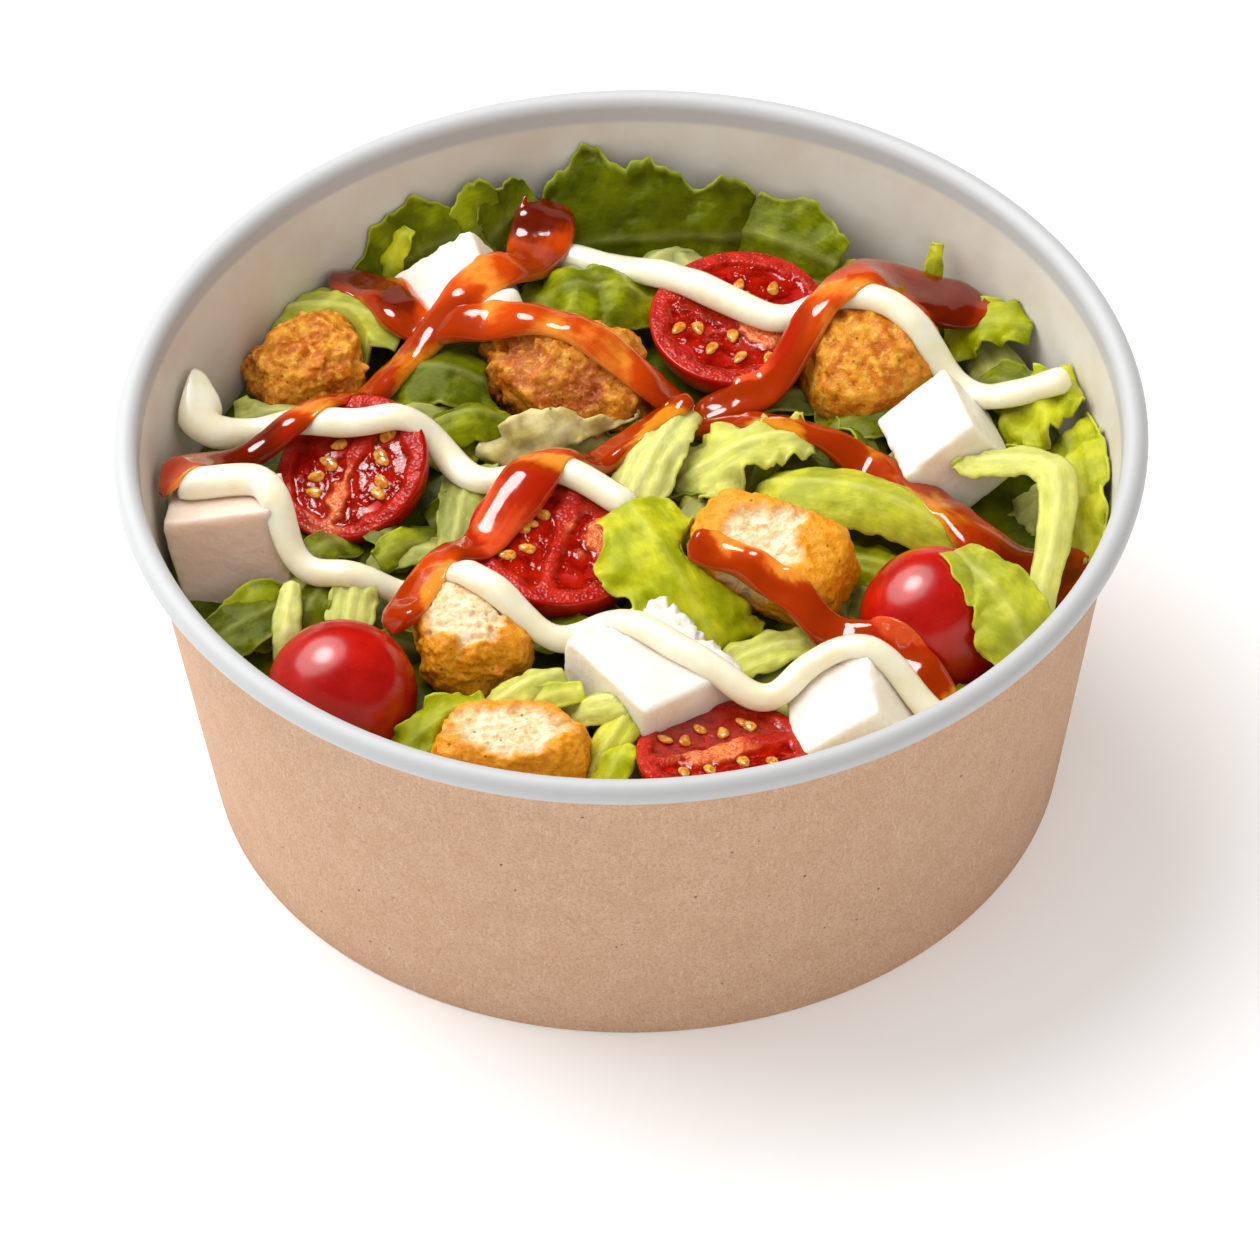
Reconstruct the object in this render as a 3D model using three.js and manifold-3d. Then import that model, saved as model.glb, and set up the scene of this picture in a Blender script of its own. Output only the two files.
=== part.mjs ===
// Crispy chicken salad in a round kraft paper bowl.
// Millimetres, +Z up, origin at the middle of the bowl's foot, -Y towards the viewer.
// The bowl wall and its base disc are paper shells. The lettuce is one heap: a bumpy core
// with the leaves that show fused on. Tomatoes, chicken and cheese lie half sunk in the heap,
// and the mayonnaise and the red sauce are fused to whatever each stretch of them lies on.

import * as THREE from 'three';
import { mergeVertices } from 'three/addons/utils/BufferGeometryUtils.js';
import Module from 'manifold-3d';

const wasm = await Module();
wasm.setup();

// ---------------------------------------------------------------- driving dimensions

const RIM_HEIGHT = 61;
const RIM_RADIUS = 75;
const FOOT_RADIUS = 61.7;
const PAPER = 0.6;
const BEAD_RADIUS = 2.2;
const FOOT_FOLD = { width: 1.5, height: 5 };
const ROUND_SEGMENTS = 40;
const CORE_SEGMENTS = 20;
const GAP = 0.35;
const PAPER_CLEARANCE = GAP + 0.1;

const BASE_BOTTOM = FOOT_FOLD.height + GAP;
const BASE_TOP = BASE_BOTTOM + PAPER;
const BEAD_CENTRE = { radius: RIM_RADIUS - BEAD_RADIUS, height: RIM_HEIGHT - BEAD_RADIUS };
const INNER_FOOT = FOOT_RADIUS - PAPER;
const INNER_RIM = BEAD_CENTRE.radius - BEAD_RADIUS;
const WALL_SLOPE = (INNER_RIM - INNER_FOOT) / BEAD_CENTRE.height;

const CORE_TOP = 40;
const CORE_BUMP = 1.2;
const CORE_SHOULDER = 3;
const CORE_RINGS = 4;
const LEAF_THICKNESS = 1;
const LEAF_ROOT_HEIGHT = 37.5;
const LEAF_ROOT_RUN = 2;
const LEAF_STEP = 6;
const LEAF_BLADE = { tip: 0.45, middle: 0.55, start: 0.12, run: 0.76 };
const LEAF_DROOP = 0.06;
const FRILL_WAVE = 2 * Math.PI / 8.4;
const FOOD_CEILING = 56.2;

const HALF_TOMATO = { depth: 0.82, lip: 0.5, crown: 0.6 };
const CRUST_BUMPS = [{ wave: 13, height: 0.05 }, { wave: 6, height: 0.03 }];
const CHEESE_WEAR = 0.06;
const CHEESE_UNEVEN = 0.02;

const MAYO_RADIUS = 2.2;
const SAUCE_RADIUS = 2.5;
const STRAND_SINK = 0.6;
const STRAND_SIDES = 5;
const STRAND_STEP = 10;
const COLUMN_SIDES = 8;

const KRAFT = new THREE.Color(0.83, 0.67, 0.55);
const PAPER_WHITE = new THREE.Color(0.92, 0.91, 0.89);
const LETTUCE_GREEN = new THREE.Color(0.5, 0.62, 0.16);
const TOMATO_RED = new THREE.Color(0.75, 0.09, 0.03);
const CRUST_GOLD = new THREE.Color(0.85, 0.56, 0.2);
const CHEESE_WHITE = new THREE.Color(0.95, 0.93, 0.86);

// ---------------------------------------------------------------- what lies in the bowl
// at: middle of the piece. size: length, width and height before it is turned.
// turn: about the vertical, then tilt: about the piece's own length and width, in degrees.

const TOMATO_HALVES = [
  { at: [-40.7, 10.4, 46], radius: 11.7, normal: [-0.36, -0.31, 0.88] },
  { at: [-10.2, -7.2, 48], radius: 13.4, normal: [0.03, -0.1, 1] },
  { at: [16.4, 39.4, 47], radius: 13.2, normal: [0, -0.09, 1] },
  { at: [12.2, -52, 47], radius: 12.6, normal: [0, 0.15, 1] },
];

const WHOLE_TOMATOES = [
  { at: [-42.4, -35.1, 43.5], radius: 11.1 },
  { at: [43.4, -22.6, 43.5], radius: 11.1 },
];

const CHICKEN = [
  { at: [-47, 35, 42.5], size: [20, 16, 14], turn: 15, tilt: [0, 0], square: 2.6 },
  { at: [-7.8, 30, 43.5], size: [26, 19, 16], turn: -12, tilt: [14, 0], square: 3 },
  { at: [35.5, 31.3, 44], size: [22, 21, 19], turn: 20, tilt: [0, 0], square: 2.4 },
  { at: [20.1, -12.1, 47], size: [25, 15, 14], turn: -28, tilt: [12, 0], square: 4 },
  { at: [-23.5, -24.7, 45], size: [17, 19, 15], turn: 10, tilt: [10, 0], square: 3 },
  { at: [-18, -49.6, 45], size: [23, 14, 13], turn: -3, tilt: [0, 0], square: 3.4 },
];

const CHEESE = [
  { at: [-24, 47.5, 44], size: [14, 13, 12], turn: 13, tilt: [4, -33] },
  { at: [-57.5, -2, 42.5], size: [16.5, 12, 17], turn: -6, tilt: [-12, -14] },
  { at: [46, 13, 45], size: [13, 16, 12], turn: 20, tilt: [-11, -33] },
  { at: [2.5, -35.5, 45], size: [18, 20, 12], turn: 35, tilt: [0, 4] },
  { at: [32, -45.5, 44.5], size: [15, 15, 15], turn: 4, tilt: [2, -35] },
];

// Leaves: from the end that roots in the heap to the free end, with the width across,
// the arch of the middle above the ends, the lean of the blade about its length and the
// height of its frills.
const LEAVES = [
  { from: [-38, 47, 43], to: [-22, 62, 47], width: 12, arch: 1, lean: 55, frill: 1.2 },
  { from: [-22, 60, 45], to: [-12, 65, 46], width: 8, arch: 1, lean: 40, frill: 1 },
  { from: [-8, 60, 44], to: [19, 59, 45], width: 17, arch: 2, lean: 32, frill: 1.4 },
  { from: [17, 60, 45], to: [33, 50, 45], width: 10, arch: 2, lean: 35, frill: 0.8 },
  { from: [-14, 46, 45], to: [5, 46, 46], width: 16, arch: 4, lean: 10, frill: 0.8 },
  { from: [-51, 46, 42], to: [-32, 36, 45], width: 11, arch: 3, lean: 5, frill: 0.8 },
  { from: [-53, 40, 41], to: [-37, 32, 43], width: 9, arch: 2, lean: -20, frill: 0.5 },
  { from: [-37, 29, 43], to: [-18, 24, 44], width: 13, arch: 3, lean: 0, frill: 0.5 },
  { from: [-31, 20, 42], to: [-15, 19, 43], width: 10, arch: 4, lean: 0, frill: 0.3 },
  { from: [-23, 13, 43], to: [-27, -6, 42], width: 9, arch: 2, lean: 10, frill: 0.6 },
  { from: [-18, 17, 43], to: [1, 20, 46], width: 6, arch: 2, lean: 35, frill: 1 },
  { from: [6, 21, 45], to: [1, 3, 46], width: 10, arch: 2, lean: 0, frill: 0.8 },
  { from: [8, 17, 45], to: [25, 8, 46], width: 15, arch: 3, lean: 0, frill: 1.8 },
  { from: [20, 5, 45], to: [46, -7, 44], width: 14, arch: 4, lean: 5, frill: 0.7 },
  { from: [9, -24, 45], to: [0, -3, 50], width: 21, arch: 2, lean: 0, frill: 1 },
  { from: [15, -31, 43], to: [27, -27, 43], width: 8, arch: 1, lean: 0, frill: 0.8 },
  { from: [49, 40, 43], to: [60, 31, 46], width: 8, arch: 2, lean: 20, frill: 1 },
  { from: [52, 27, 43], to: [61, 22, 45], width: 8, arch: 2, lean: 10, frill: 1 },
  { from: [53, 20, 43], to: [65, 10, 48], width: 12, arch: 3, lean: 15, frill: 1.6 },
  { from: [63, 12, 44], to: [65, -17, 46], width: 11, arch: 3, lean: -50, frill: 1 },
  { from: [57, -30, 46], to: [54, 3, 49], width: 6, arch: 4, lean: 25, frill: 0.4 },
  { from: [57, -34, 46], to: [51, -14, 50], width: 10, arch: 2, lean: -15, frill: 0.7 },
  { from: [-34, -43, 43], to: [-21, -42, 46], width: 8, arch: 1, lean: 15, frill: 1 },
  { from: [-22, -38, 44], to: [-10, -37, 46], width: 8, arch: 2, lean: 0, frill: 1 },
  { from: [-9, -49, 44], to: [1, -41, 47], width: 8, arch: 2, lean: 0, frill: 0.8 },
  { from: [-3, -55, 44], to: [2, -42, 46], width: 7, arch: 2, lean: 0, frill: 0.8 },
  { from: [-62, -13, 41], to: [-50, -25, 42], width: 10, arch: 1, lean: 0, frill: 0.6 },
  { from: [-45, -17, 42], to: [-34, -17, 43], width: 9, arch: 1, lean: 0, frill: 0.6 },
  { from: [50, -36, 42], to: [42, -50, 44], width: 9, arch: 1, lean: 0, frill: 0.8 },
  { from: [-28, -58, 43], to: [-36, -50, 44], width: 8, arch: 1, lean: 0, frill: 0.8 },
];

// Strands are drawn in plan, from end to end, and then laid down on what is under them.
const MAYO_STRANDS = [
  [[-18, 58], [-5, 55], [11, 44], [22, 37], [30, 37], [38, 34], [48, 25], [56, 21], [65, 21]],
  [[-63, 30], [-61, 19], [-52, 18], [-38, 15], [-29, 14], [-21, 6], [-10, 4], [1, -4]],
  [[-63, 2], [-54, 0], [-49, -9], [-42, -12], [-30, -14], [-22, -21], [-13, -27], [-4, -27],
    [8, -37], [18, -42], [26, -36], [36, -38], [45, -47]],
];

const SAUCE_STRANDS = [
  [[-39, 52], [-33, 42], [-22, 36], [-10, 33], [2, 25], [10, 23], [20, 26], [29, 35], [40, 41],
    [49, 38]],
  [[-11, 61], [-14, 52], [-22, 43], [-31, 35], [-38, 27], [-48, 17], [-58, 12], [-66, 5]],
  [[9, 22], [-3, 12], [-11, 2], [-20, -10], [-29, -16], [-34, -28]],
  [[9, 23], [25, 14], [40, 5], [49, -6], [59, -13], [65, -17]],
  [[8, -14], [18, -19], [26, -27], [36, -31], [46, -38]],
];

const SAUCE_POOLS = [
  { at: [-12, 60], size: [9, 8, 6] },
  { at: [44, 40], size: [18, 9, 5] },
  { at: [60, -13], size: [14, 12, 5] },
  { at: [-40, 52], size: [10, 8, 5] },
  { at: [-62, 6], size: [9, 10, 5] },
];

// ---------------------------------------------------------------- solids and placing

function toSolid(geometry) {
  const shape = geometry.clone();
  shape.deleteAttribute('normal');
  shape.deleteAttribute('uv');
  const merged = mergeVertices(shape, 1e-4);
  return new wasm.Manifold(new wasm.Mesh({
    numProp: 3,
    vertProperties: new Float32Array(merged.attributes.position.array),
    triVerts: new Uint32Array(merged.index.array),
  }));
}

function toGeometry(solid) {
  const mesh = solid.getMesh();
  const geometry = new THREE.BufferGeometry();
  geometry.setAttribute('position', new THREE.BufferAttribute(mesh.vertProperties, 3));
  geometry.setIndex(new THREE.BufferAttribute(mesh.triVerts, 1));
  geometry.computeVertexNormals();
  return geometry;
}

function largestPiece(solid) {
  const pieces = solid.decompose();
  return pieces.reduce((best, piece) => (piece.volume() > best.volume() ? piece : best));
}

function radians(degrees) {
  return THREE.MathUtils.degToRad(degrees);
}

function placing({ at, turn = 0, tilt = [0, 0] }) {
  const rotation = new THREE.Euler(radians(tilt[0]), radians(tilt[1]), radians(turn), 'ZYX');
  const matrix = new THREE.Matrix4().makeRotationFromEuler(rotation);
  return matrix.setPosition(...at);
}

// Three crossed waves: a smooth bumpiness between about -1 and 1, with bumps of one size.
function ripple(x, y, z, wave) {
  const k = (2 * Math.PI) / wave;
  const a = Math.sin(k * (x + 0.6 * y) + 1.3);
  const b = Math.sin(k * (0.9 * y - 0.5 * z) + 0.4);
  const c = Math.sin(k * (0.8 * z - 0.7 * x) + 2.1);
  return (a + b + c) / 3;
}

function eachPoint(geometry, move) {
  const position = geometry.attributes.position;
  const point = new THREE.Vector3();
  for (let i = 0; i < position.count; i += 1) {
    point.fromBufferAttribute(position, i);
    move(point);
    position.setXYZ(i, point.x, point.y, point.z);
  }
  return geometry;
}

// A lathe turns about Y, so its solid is stood up on +Z.
function turned(profile) {
  return new THREE.LatheGeometry(profile, ROUND_SEGMENTS).rotateX(Math.PI / 2);
}

function innerWall(height) {
  return INNER_FOOT + WALL_SLOPE * height;
}

// ---------------------------------------------------------------- bowl

function bowlWallGeometry() {
  const outerTop = innerWall(BEAD_CENTRE.height) + PAPER;
  const reach = BEAD_CENTRE.radius - outerTop;
  const drop = Math.sqrt(BEAD_RADIUS ** 2 - reach ** 2);
  const wallAngle = Math.PI + Math.atan2(drop, reach);
  const angles = [wallAngle];
  for (let angle = 1.5 * Math.PI; angle < 3.1 * Math.PI; angle += Math.PI / 4) {
    angles.push(angle);
  }
  const profile = [new THREE.Vector2(FOOT_RADIUS, 0)];
  angles.forEach((angle) => {
    profile.push(new THREE.Vector2(
      BEAD_CENTRE.radius + BEAD_RADIUS * Math.cos(angle),
      BEAD_CENTRE.height + BEAD_RADIUS * Math.sin(angle),
    ));
  });
  profile.push(new THREE.Vector2(innerWall(FOOT_FOLD.height), FOOT_FOLD.height));
  profile.push(new THREE.Vector2(FOOT_RADIUS - FOOT_FOLD.width, FOOT_FOLD.height));
  profile.push(new THREE.Vector2(FOOT_RADIUS - FOOT_FOLD.width, 0));
  profile.push(profile[0].clone());
  return turned(profile);
}

function discProfile(bottom, top, bottomRadius, topRadius) {
  return [
    new THREE.Vector2(0, bottom),
    new THREE.Vector2(bottomRadius, bottom),
    new THREE.Vector2(topRadius, top),
    new THREE.Vector2(0, top),
  ];
}

function bowlBaseGeometry() {
  const bottomRadius = innerWall(BASE_BOTTOM) - GAP;
  const topRadius = innerWall(BASE_TOP) - GAP;
  return turned(discProfile(BASE_BOTTOM, BASE_TOP, bottomRadius, topRadius));
}

// The room inside the bowl that food may fill, clear of the paper all round.
function foodRoom() {
  const bottom = BASE_TOP + GAP;
  const bottomRadius = innerWall(bottom) - PAPER_CLEARANCE;
  const topRadius = innerWall(FOOD_CEILING) - PAPER_CLEARANCE;
  return toSolid(turned(discProfile(bottom, FOOD_CEILING, bottomRadius, topRadius)));
}

// ---------------------------------------------------------------- toppings

// Each maker gives the shape in its own axes, as a function of how fine it is, and where it
// lies. The coarse shape, slightly enlarged, is the pocket that its neighbours leave free.

function tomatoHalf({ at, radius, normal }) {
  const depth = HALF_TOMATO.depth * radius;
  const build = (fine) => {
    const steps = fine ? 4 : 3;
    const profile = [new THREE.Vector2(0, -depth)];
    for (let i = 1; i <= steps; i += 1) {
      const angle = (0.5 * Math.PI * i) / steps;
      profile.push(new THREE.Vector2(radius * Math.sin(angle), -depth * Math.cos(angle)));
    }
    profile.push(new THREE.Vector2(radius - HALF_TOMATO.lip, HALF_TOMATO.lip));
    profile.push(new THREE.Vector2(0, HALF_TOMATO.crown));
    const shape = new THREE.LatheGeometry(profile, fine ? 16 : 10).rotateX(Math.PI / 2);
    return shape.translate(0, 0, depth / 2);
  };
  const up = new THREE.Vector3(...normal).normalize();
  const turn = new THREE.Quaternion().setFromUnitVectors(new THREE.Vector3(0, 0, 1), up);
  const centre = new THREE.Vector3(...at).addScaledVector(up, -depth / 2);
  const place = new THREE.Matrix4().makeRotationFromQuaternion(turn).setPosition(centre);
  return { build, place, plan: [radius, radius], turn: 0, least: depth / 2, slack: 1.09 };
}

function wholeTomato({ at, radius }) {
  const build = (fine) => {
    const sides = fine ? 15 : 10;
    return new THREE.SphereGeometry(radius, sides, sides * 0.6).rotateX(Math.PI / 2);
  };
  const plan = [radius, radius];
  return { build, place: placing({ at }), plan, turn: 0, least: radius, slack: 1.05 };
}

// A nugget: a rounded block whose crust is bumpy at two sizes.
function chickenPiece({ at, size, turn, tilt, square }) {
  const detail = Math.max(...size) > 25 ? 3 : 2;
  const build = (fine) => eachPoint(new THREE.IcosahedronGeometry(1, fine ? detail : 1), (p) => {
    const sum = Math.abs(p.x) ** square + Math.abs(p.y) ** square + Math.abs(p.z) ** square;
    p.multiplyScalar(sum ** (-1 / square));
    p.set(p.x * size[0] * 0.5, p.y * size[1] * 0.5, p.z * size[2] * 0.5);
    const [x, y, z] = [p.x + at[0], p.y + at[1], p.z + at[2]];
    const [lumps, grains] = CRUST_BUMPS;
    const crust = lumps.height * ripple(x, y, z, lumps.wave);
    p.multiplyScalar(1 + crust + grains.height * ripple(y, z, x, grains.wave));
  });
  const plan = [size[0] / 2, size[1] / 2];
  const least = Math.min(...size) / 2;
  return { build, place: placing({ at, turn, tilt }), plan, turn, least, slack: 1.12 };
}

// A cheese cube: cut square, with slightly uneven faces and worn corners. Its corners are
// half a unit from the middle along each axis, until it is given its size.
function cheeseCube({ at, size, turn, tilt }) {
  const build = (fine) => {
    const steps = fine ? 3 : 1;
    return eachPoint(new THREE.BoxGeometry(1, 1, 1, steps, steps, steps), (p) => {
      const corner = Math.abs(p.x) * Math.abs(p.y) * Math.abs(p.z) * 8;
      const wear = fine ? CHEESE_WEAR * corner : 0;
      p.set(p.x * size[0], p.y * size[1], p.z * size[2]);
      const uneven = CHEESE_UNEVEN * ripple(p.x, p.y, p.z + at[0], Math.max(...size));
      p.multiplyScalar(1 - wear + uneven);
    });
  };
  const plan = [size[0] / 2, size[1] / 2];
  const least = Math.min(...size) / 2;
  return { build, place: placing({ at, turn, tilt }), plan, turn, least, slack: 1.03 };
}

function pieceSolid(piece) {
  return toSolid(piece.build(true).applyMatrix4(piece.place));
}

function pocketSolid(piece) {
  const factor = piece.slack * (1 + GAP / piece.least);
  const shape = piece.build(false).scale(factor, factor, factor);
  return toSolid(shape.applyMatrix4(piece.place));
}

// An upright column over a topping, from below the food to above it.
function columnOver(piece, grow) {
  const round = 1 / Math.cos(Math.PI / COLUMN_SIDES);
  const column = new THREE.CylinderGeometry(round, round, RIM_HEIGHT, COLUMN_SIDES);
  column.rotateX(Math.PI / 2).scale(piece.plan[0] + grow, piece.plan[1] + grow, 1);
  column.rotateZ(radians(piece.turn));
  const centre = new THREE.Vector3().setFromMatrixPosition(piece.place);
  column.translate(centre.x, centre.y, centre.z);
  return toSolid(column);
}

function allToppings() {
  const groups = [
    { name: 'tomato_half', rows: TOMATO_HALVES, make: tomatoHalf, colour: TOMATO_RED, rough: 0.2 },
    { name: 'chicken', rows: CHICKEN, make: chickenPiece, colour: CRUST_GOLD, rough: 0.6 },
    { name: 'cheese', rows: CHEESE, make: cheeseCube, colour: CHEESE_WHITE, rough: 0.55 },
    { name: 'tomato_whole', rows: WHOLE_TOMATOES, make: wholeTomato, colour: TOMATO_RED, rough: 0.2 },
  ];
  return groups.flatMap(({ name, rows, make, colour, rough }) => rows.map((row, i) => ({
    name: `${name}_${i + 1}`,
    colour,
    rough,
    ...make(row),
  })));
}

// ---------------------------------------------------------------- lettuce

function coreHeight(x, y) {
  const out = Math.hypot(x, y) / INNER_RIM;
  return CORE_TOP + CORE_BUMP * ripple(x, y, 0, 26) - CORE_SHOULDER * out ** 4;
}

function heapCore() {
  const bottom = BASE_TOP + GAP;
  const shoulder = CORE_TOP - CORE_SHOULDER;
  const shoulderRadius = innerWall(shoulder) - PAPER_CLEARANCE;
  const profile = [
    new THREE.Vector2(0, bottom),
    new THREE.Vector2(innerWall(bottom) - PAPER_CLEARANCE, bottom),
  ];
  for (let i = 0; i <= CORE_RINGS; i += 1) {
    const radius = shoulderRadius * (1 - i / CORE_RINGS);
    profile.push(new THREE.Vector2(radius, CORE_TOP));
  }
  const shape = new THREE.LatheGeometry(profile, CORE_SEGMENTS).rotateX(Math.PI / 2);
  eachPoint(shape, (p) => {
    if (p.z > bottom + 1) {
      p.z = coreHeight(p.x, p.y);
    }
  });
  return toSolid(shape);
}

// A thin closed sheet over a grid: both faces are split alike, and a rim joins them.
function thinSheet(lengthSteps, widthSteps, surface, thickness) {
  const grid = new THREE.PlaneGeometry(1, 1, lengthSteps, widthSteps);
  const count = grid.attributes.position.count;
  const tiny = 1e-3;
  const upper = [];
  const lower = [];
  for (let i = 0; i < count; i += 1) {
    const s = grid.attributes.position.getX(i) + 0.5;
    const t = grid.attributes.position.getY(i) * 2;
    const point = surface(s, t);
    const along = surface(s + tiny, t).sub(point);
    const across = surface(s, t + tiny).sub(point);
    const normal = along.cross(across).normalize().multiplyScalar(thickness / 2);
    upper.push(...point.clone().add(normal).toArray());
    lower.push(...point.clone().sub(normal).toArray());
  }
  const faces = Array.from(grid.index.array);
  const index = [...faces];
  for (let i = 0; i < faces.length; i += 3) {
    index.push(faces[i] + count, faces[i + 2] + count, faces[i + 1] + count);
  }
  const row = lengthSteps + 1;
  const edge = [];
  for (let i = 0; i < lengthSteps; i += 1) {
    edge.push(i);
  }
  for (let j = 0; j < widthSteps; j += 1) {
    edge.push(lengthSteps + j * row);
  }
  for (let i = lengthSteps; i > 0; i -= 1) {
    edge.push(widthSteps * row + i);
  }
  for (let j = widthSteps; j > 0; j -= 1) {
    edge.push(j * row);
  }
  edge.forEach((a, i) => {
    const b = edge[(i + 1) % edge.length];
    index.push(a, b, b + count, a, b + count, a + count);
  });
  const sheet = new THREE.BufferGeometry();
  const points = new Float32Array([...upper, ...lower]);
  sheet.setAttribute('position', new THREE.BufferAttribute(points, 3));
  sheet.setIndex(index);
  return sheet;
}

// A leaf: its spine rises out of the heap at the root and arches over to the free end. The
// blade is narrow at both ends, droops to its edges and waves more the nearer the edge.
// s runs along the spine from 0 to 1 and t across the blade from -1 to 1.
function leafSolid({ from, to, width, arch, lean, frill }, number) {
  const start = new THREE.Vector3(...from);
  const end = new THREE.Vector3(...to);
  const heading = end.clone().sub(start).setZ(0).normalize();
  const root = start.clone().addScaledVector(heading, -LEAF_ROOT_RUN).setZ(LEAF_ROOT_HEIGHT);
  const middle = start.clone().lerp(end, 0.5);
  middle.z += arch;
  const spine = new THREE.CatmullRomCurve3([root, start, middle, end]);
  const length = start.distanceTo(end);
  const up = new THREE.Vector3(0, 0, 1);
  const surface = (s, t) => {
    const at = THREE.MathUtils.clamp(s, 0, 1);
    const tangent = spine.getTangent(at);
    const side = new THREE.Vector3().crossVectors(up, tangent).normalize();
    side.applyAxisAngle(tangent, radians(lean));
    const outward = new THREE.Vector3().crossVectors(tangent, side).normalize();
    const bulge = Math.sin(Math.PI * (LEAF_BLADE.start + LEAF_BLADE.run * at));
    const half = 0.5 * width * (LEAF_BLADE.tip + LEAF_BLADE.middle * bulge);
    const wave = Math.sin(at * length * FRILL_WAVE + 1.7 * number + 0.9 * Math.sign(t));
    const point = spine.getPoint(at).addScaledVector(side, t * half);
    point.addScaledVector(tangent, (s - at) * length);
    return point.addScaledVector(outward, (frill * wave - LEAF_DROOP * width) * t * t);
  };
  const lengthSteps = THREE.MathUtils.clamp(Math.round(length / LEAF_STEP), 2, 4);
  const widthSteps = width > 16 ? 3 : 2;
  return toSolid(thinSheet(lengthSteps, widthSteps, surface, LEAF_THICKNESS));
}

// ---------------------------------------------------------------- drizzle

// The height of the first thing under a point of the plan.
function surfaceDrop(solids) {
  const meshes = solids.map((solid) => {
    const mesh = new THREE.Mesh(toGeometry(solid), new THREE.MeshBasicMaterial());
    mesh.updateMatrixWorld();
    return mesh;
  });
  const caster = new THREE.Raycaster();
  const down = new THREE.Vector3(0, 0, -1);
  return (x, y) => {
    caster.set(new THREE.Vector3(x, y, 2 * RIM_HEIGHT), down);
    const hits = caster.intersectObjects(meshes, false);
    return hits.length ? hits[0].point.z : CORE_TOP;
  };
}

// A strand's points lie on the highest thing near them, so that it bridges the small gaps.
function strandSolid(plan, radius, grow, drop) {
  const flat = new THREE.CatmullRomCurve3(plan.map(([x, y]) => new THREE.Vector3(x, y, 0)));
  const steps = Math.round(flat.getLength() / STRAND_STEP);
  const ground = flat.getSpacedPoints(2 * steps).map((p) => p.setZ(drop(p.x, p.y)));
  const laid = [];
  for (let i = 0; i <= steps; i += 1) {
    const near = ground.slice(Math.max(0, 2 * i - 1), 2 * i + 2);
    const height = Math.max(...near.map((p) => p.z)) + radius - STRAND_SINK;
    const { x, y } = ground[2 * i];
    laid.push(new THREE.Vector3(x, y, Math.min(height, FOOD_CEILING - radius - GAP)));
  }
  const path = new THREE.CatmullRomCurve3(laid);
  const round = new THREE.Shape();
  round.absarc(0, 0, radius + grow, 0, 2 * Math.PI, false);
  return toSolid(new THREE.ExtrudeGeometry(round, {
    steps,
    curveSegments: STRAND_SIDES / 2,
    bevelEnabled: false,
    extrudePath: path,
  }));
}

function poolSolid({ at, size }, grow, drop) {
  const shape = new THREE.SphereGeometry(0.5, 8, 4).rotateX(Math.PI / 2);
  shape.scale(size[0] + 2 * grow, size[1] + 2 * grow, size[2] + 2 * grow);
  const height = Math.min(drop(...at), FOOD_CEILING - size[2] / 2 - GAP);
  return toSolid(shape.translate(at[0], at[1], height));
}

function drizzleSolid(grow, drop) {
  const strands = [
    ...MAYO_STRANDS.map((plan) => strandSolid(plan, MAYO_RADIUS, grow, drop)),
    ...SAUCE_STRANDS.map((plan) => strandSolid(plan, SAUCE_RADIUS, grow, drop)),
    ...SAUCE_POOLS.map((pool) => poolSolid(pool, grow, drop)),
  ];
  return wasm.Manifold.union(strands);
}

// ---------------------------------------------------------------- putting it together

// Every topping leaves a pocket for the ones laid before it, the heap is cut round them all,
// and each stretch of drizzle goes to what is under it, with a gap where it passes over an edge.
function foodSolids() {
  const room = foodRoom();
  const toppings = allToppings();
  const pockets = toppings.map((piece) => pocketSolid(piece));
  toppings.forEach((piece, i) => {
    let solid = pieceSolid(piece).intersect(room);
    pockets.slice(0, i).forEach((pocket) => {
      solid = solid.subtract(pocket);
    });
    piece.bare = largestPiece(solid);
  });

  const leaves = LEAVES.map((leaf, i) => leafSolid(leaf, i));
  let heap = wasm.Manifold.union([heapCore(), ...leaves]).intersect(room);
  const allPockets = wasm.Manifold.union(pockets);
  heap = largestPiece(heap.subtract(allPockets));

  const drop = surfaceDrop([heap, ...toppings.map((piece) => piece.bare)]);
  const fatDrizzle = drizzleSolid(GAP, drop);
  let rest = drizzleSolid(0, drop).intersect(room);
  toppings.forEach((piece, i) => {
    let stretch = rest.intersect(columnOver(piece, 0));
    pockets.forEach((pocket, j) => {
      if (j !== i) {
        stretch = stretch.subtract(pocket);
      }
    });
    piece.solid = largestPiece(piece.bare.add(stretch));
    rest = rest.subtract(columnOver(piece, GAP));
    heap = heap.subtract(fatDrizzle.intersect(columnOver(piece, GAP)));
  });
  heap = largestPiece(heap.add(rest.subtract(allPockets)));
  return { heap, toppings };
}

function finishMaterial(color, roughness) {
  return new THREE.MeshStandardMaterial({ color, roughness, metalness: 0 });
}

function namedMesh(name, geometry, material) {
  const mesh = new THREE.Mesh(geometry, material);
  mesh.name = name;
  return mesh;
}

const salad = new THREE.Group();
salad.add(namedMesh('bowl_wall', bowlWallGeometry(), finishMaterial(KRAFT, 0.8)));
salad.add(namedMesh('bowl_base', bowlBaseGeometry(), finishMaterial(PAPER_WHITE, 0.7)));

const { heap, toppings } = foodSolids();
salad.add(namedMesh('lettuce_heap', toGeometry(heap), finishMaterial(LETTUCE_GREEN, 0.45)));
toppings.forEach(({ name, solid, colour, rough }) => {
  salad.add(namedMesh(name, toGeometry(solid), finishMaterial(colour, rough)));
});

export default salad;
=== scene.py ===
# %% [markdown]
# # A crispy chicken salad in a kraft paper bowl
#
# A round paper bowl, white inside and brown outside, holds lettuce, cherry tomatoes, fried
# chicken and white cheese under strands of mayonnaise and red sauce. The solids that were
# packed give every piece its place. This file makes the fine surfaces and the finishes round
# them. All tables are in millimetres, as a cook or a paper maker would measure, and are turned
# into metres where a mesh is made.

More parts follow.
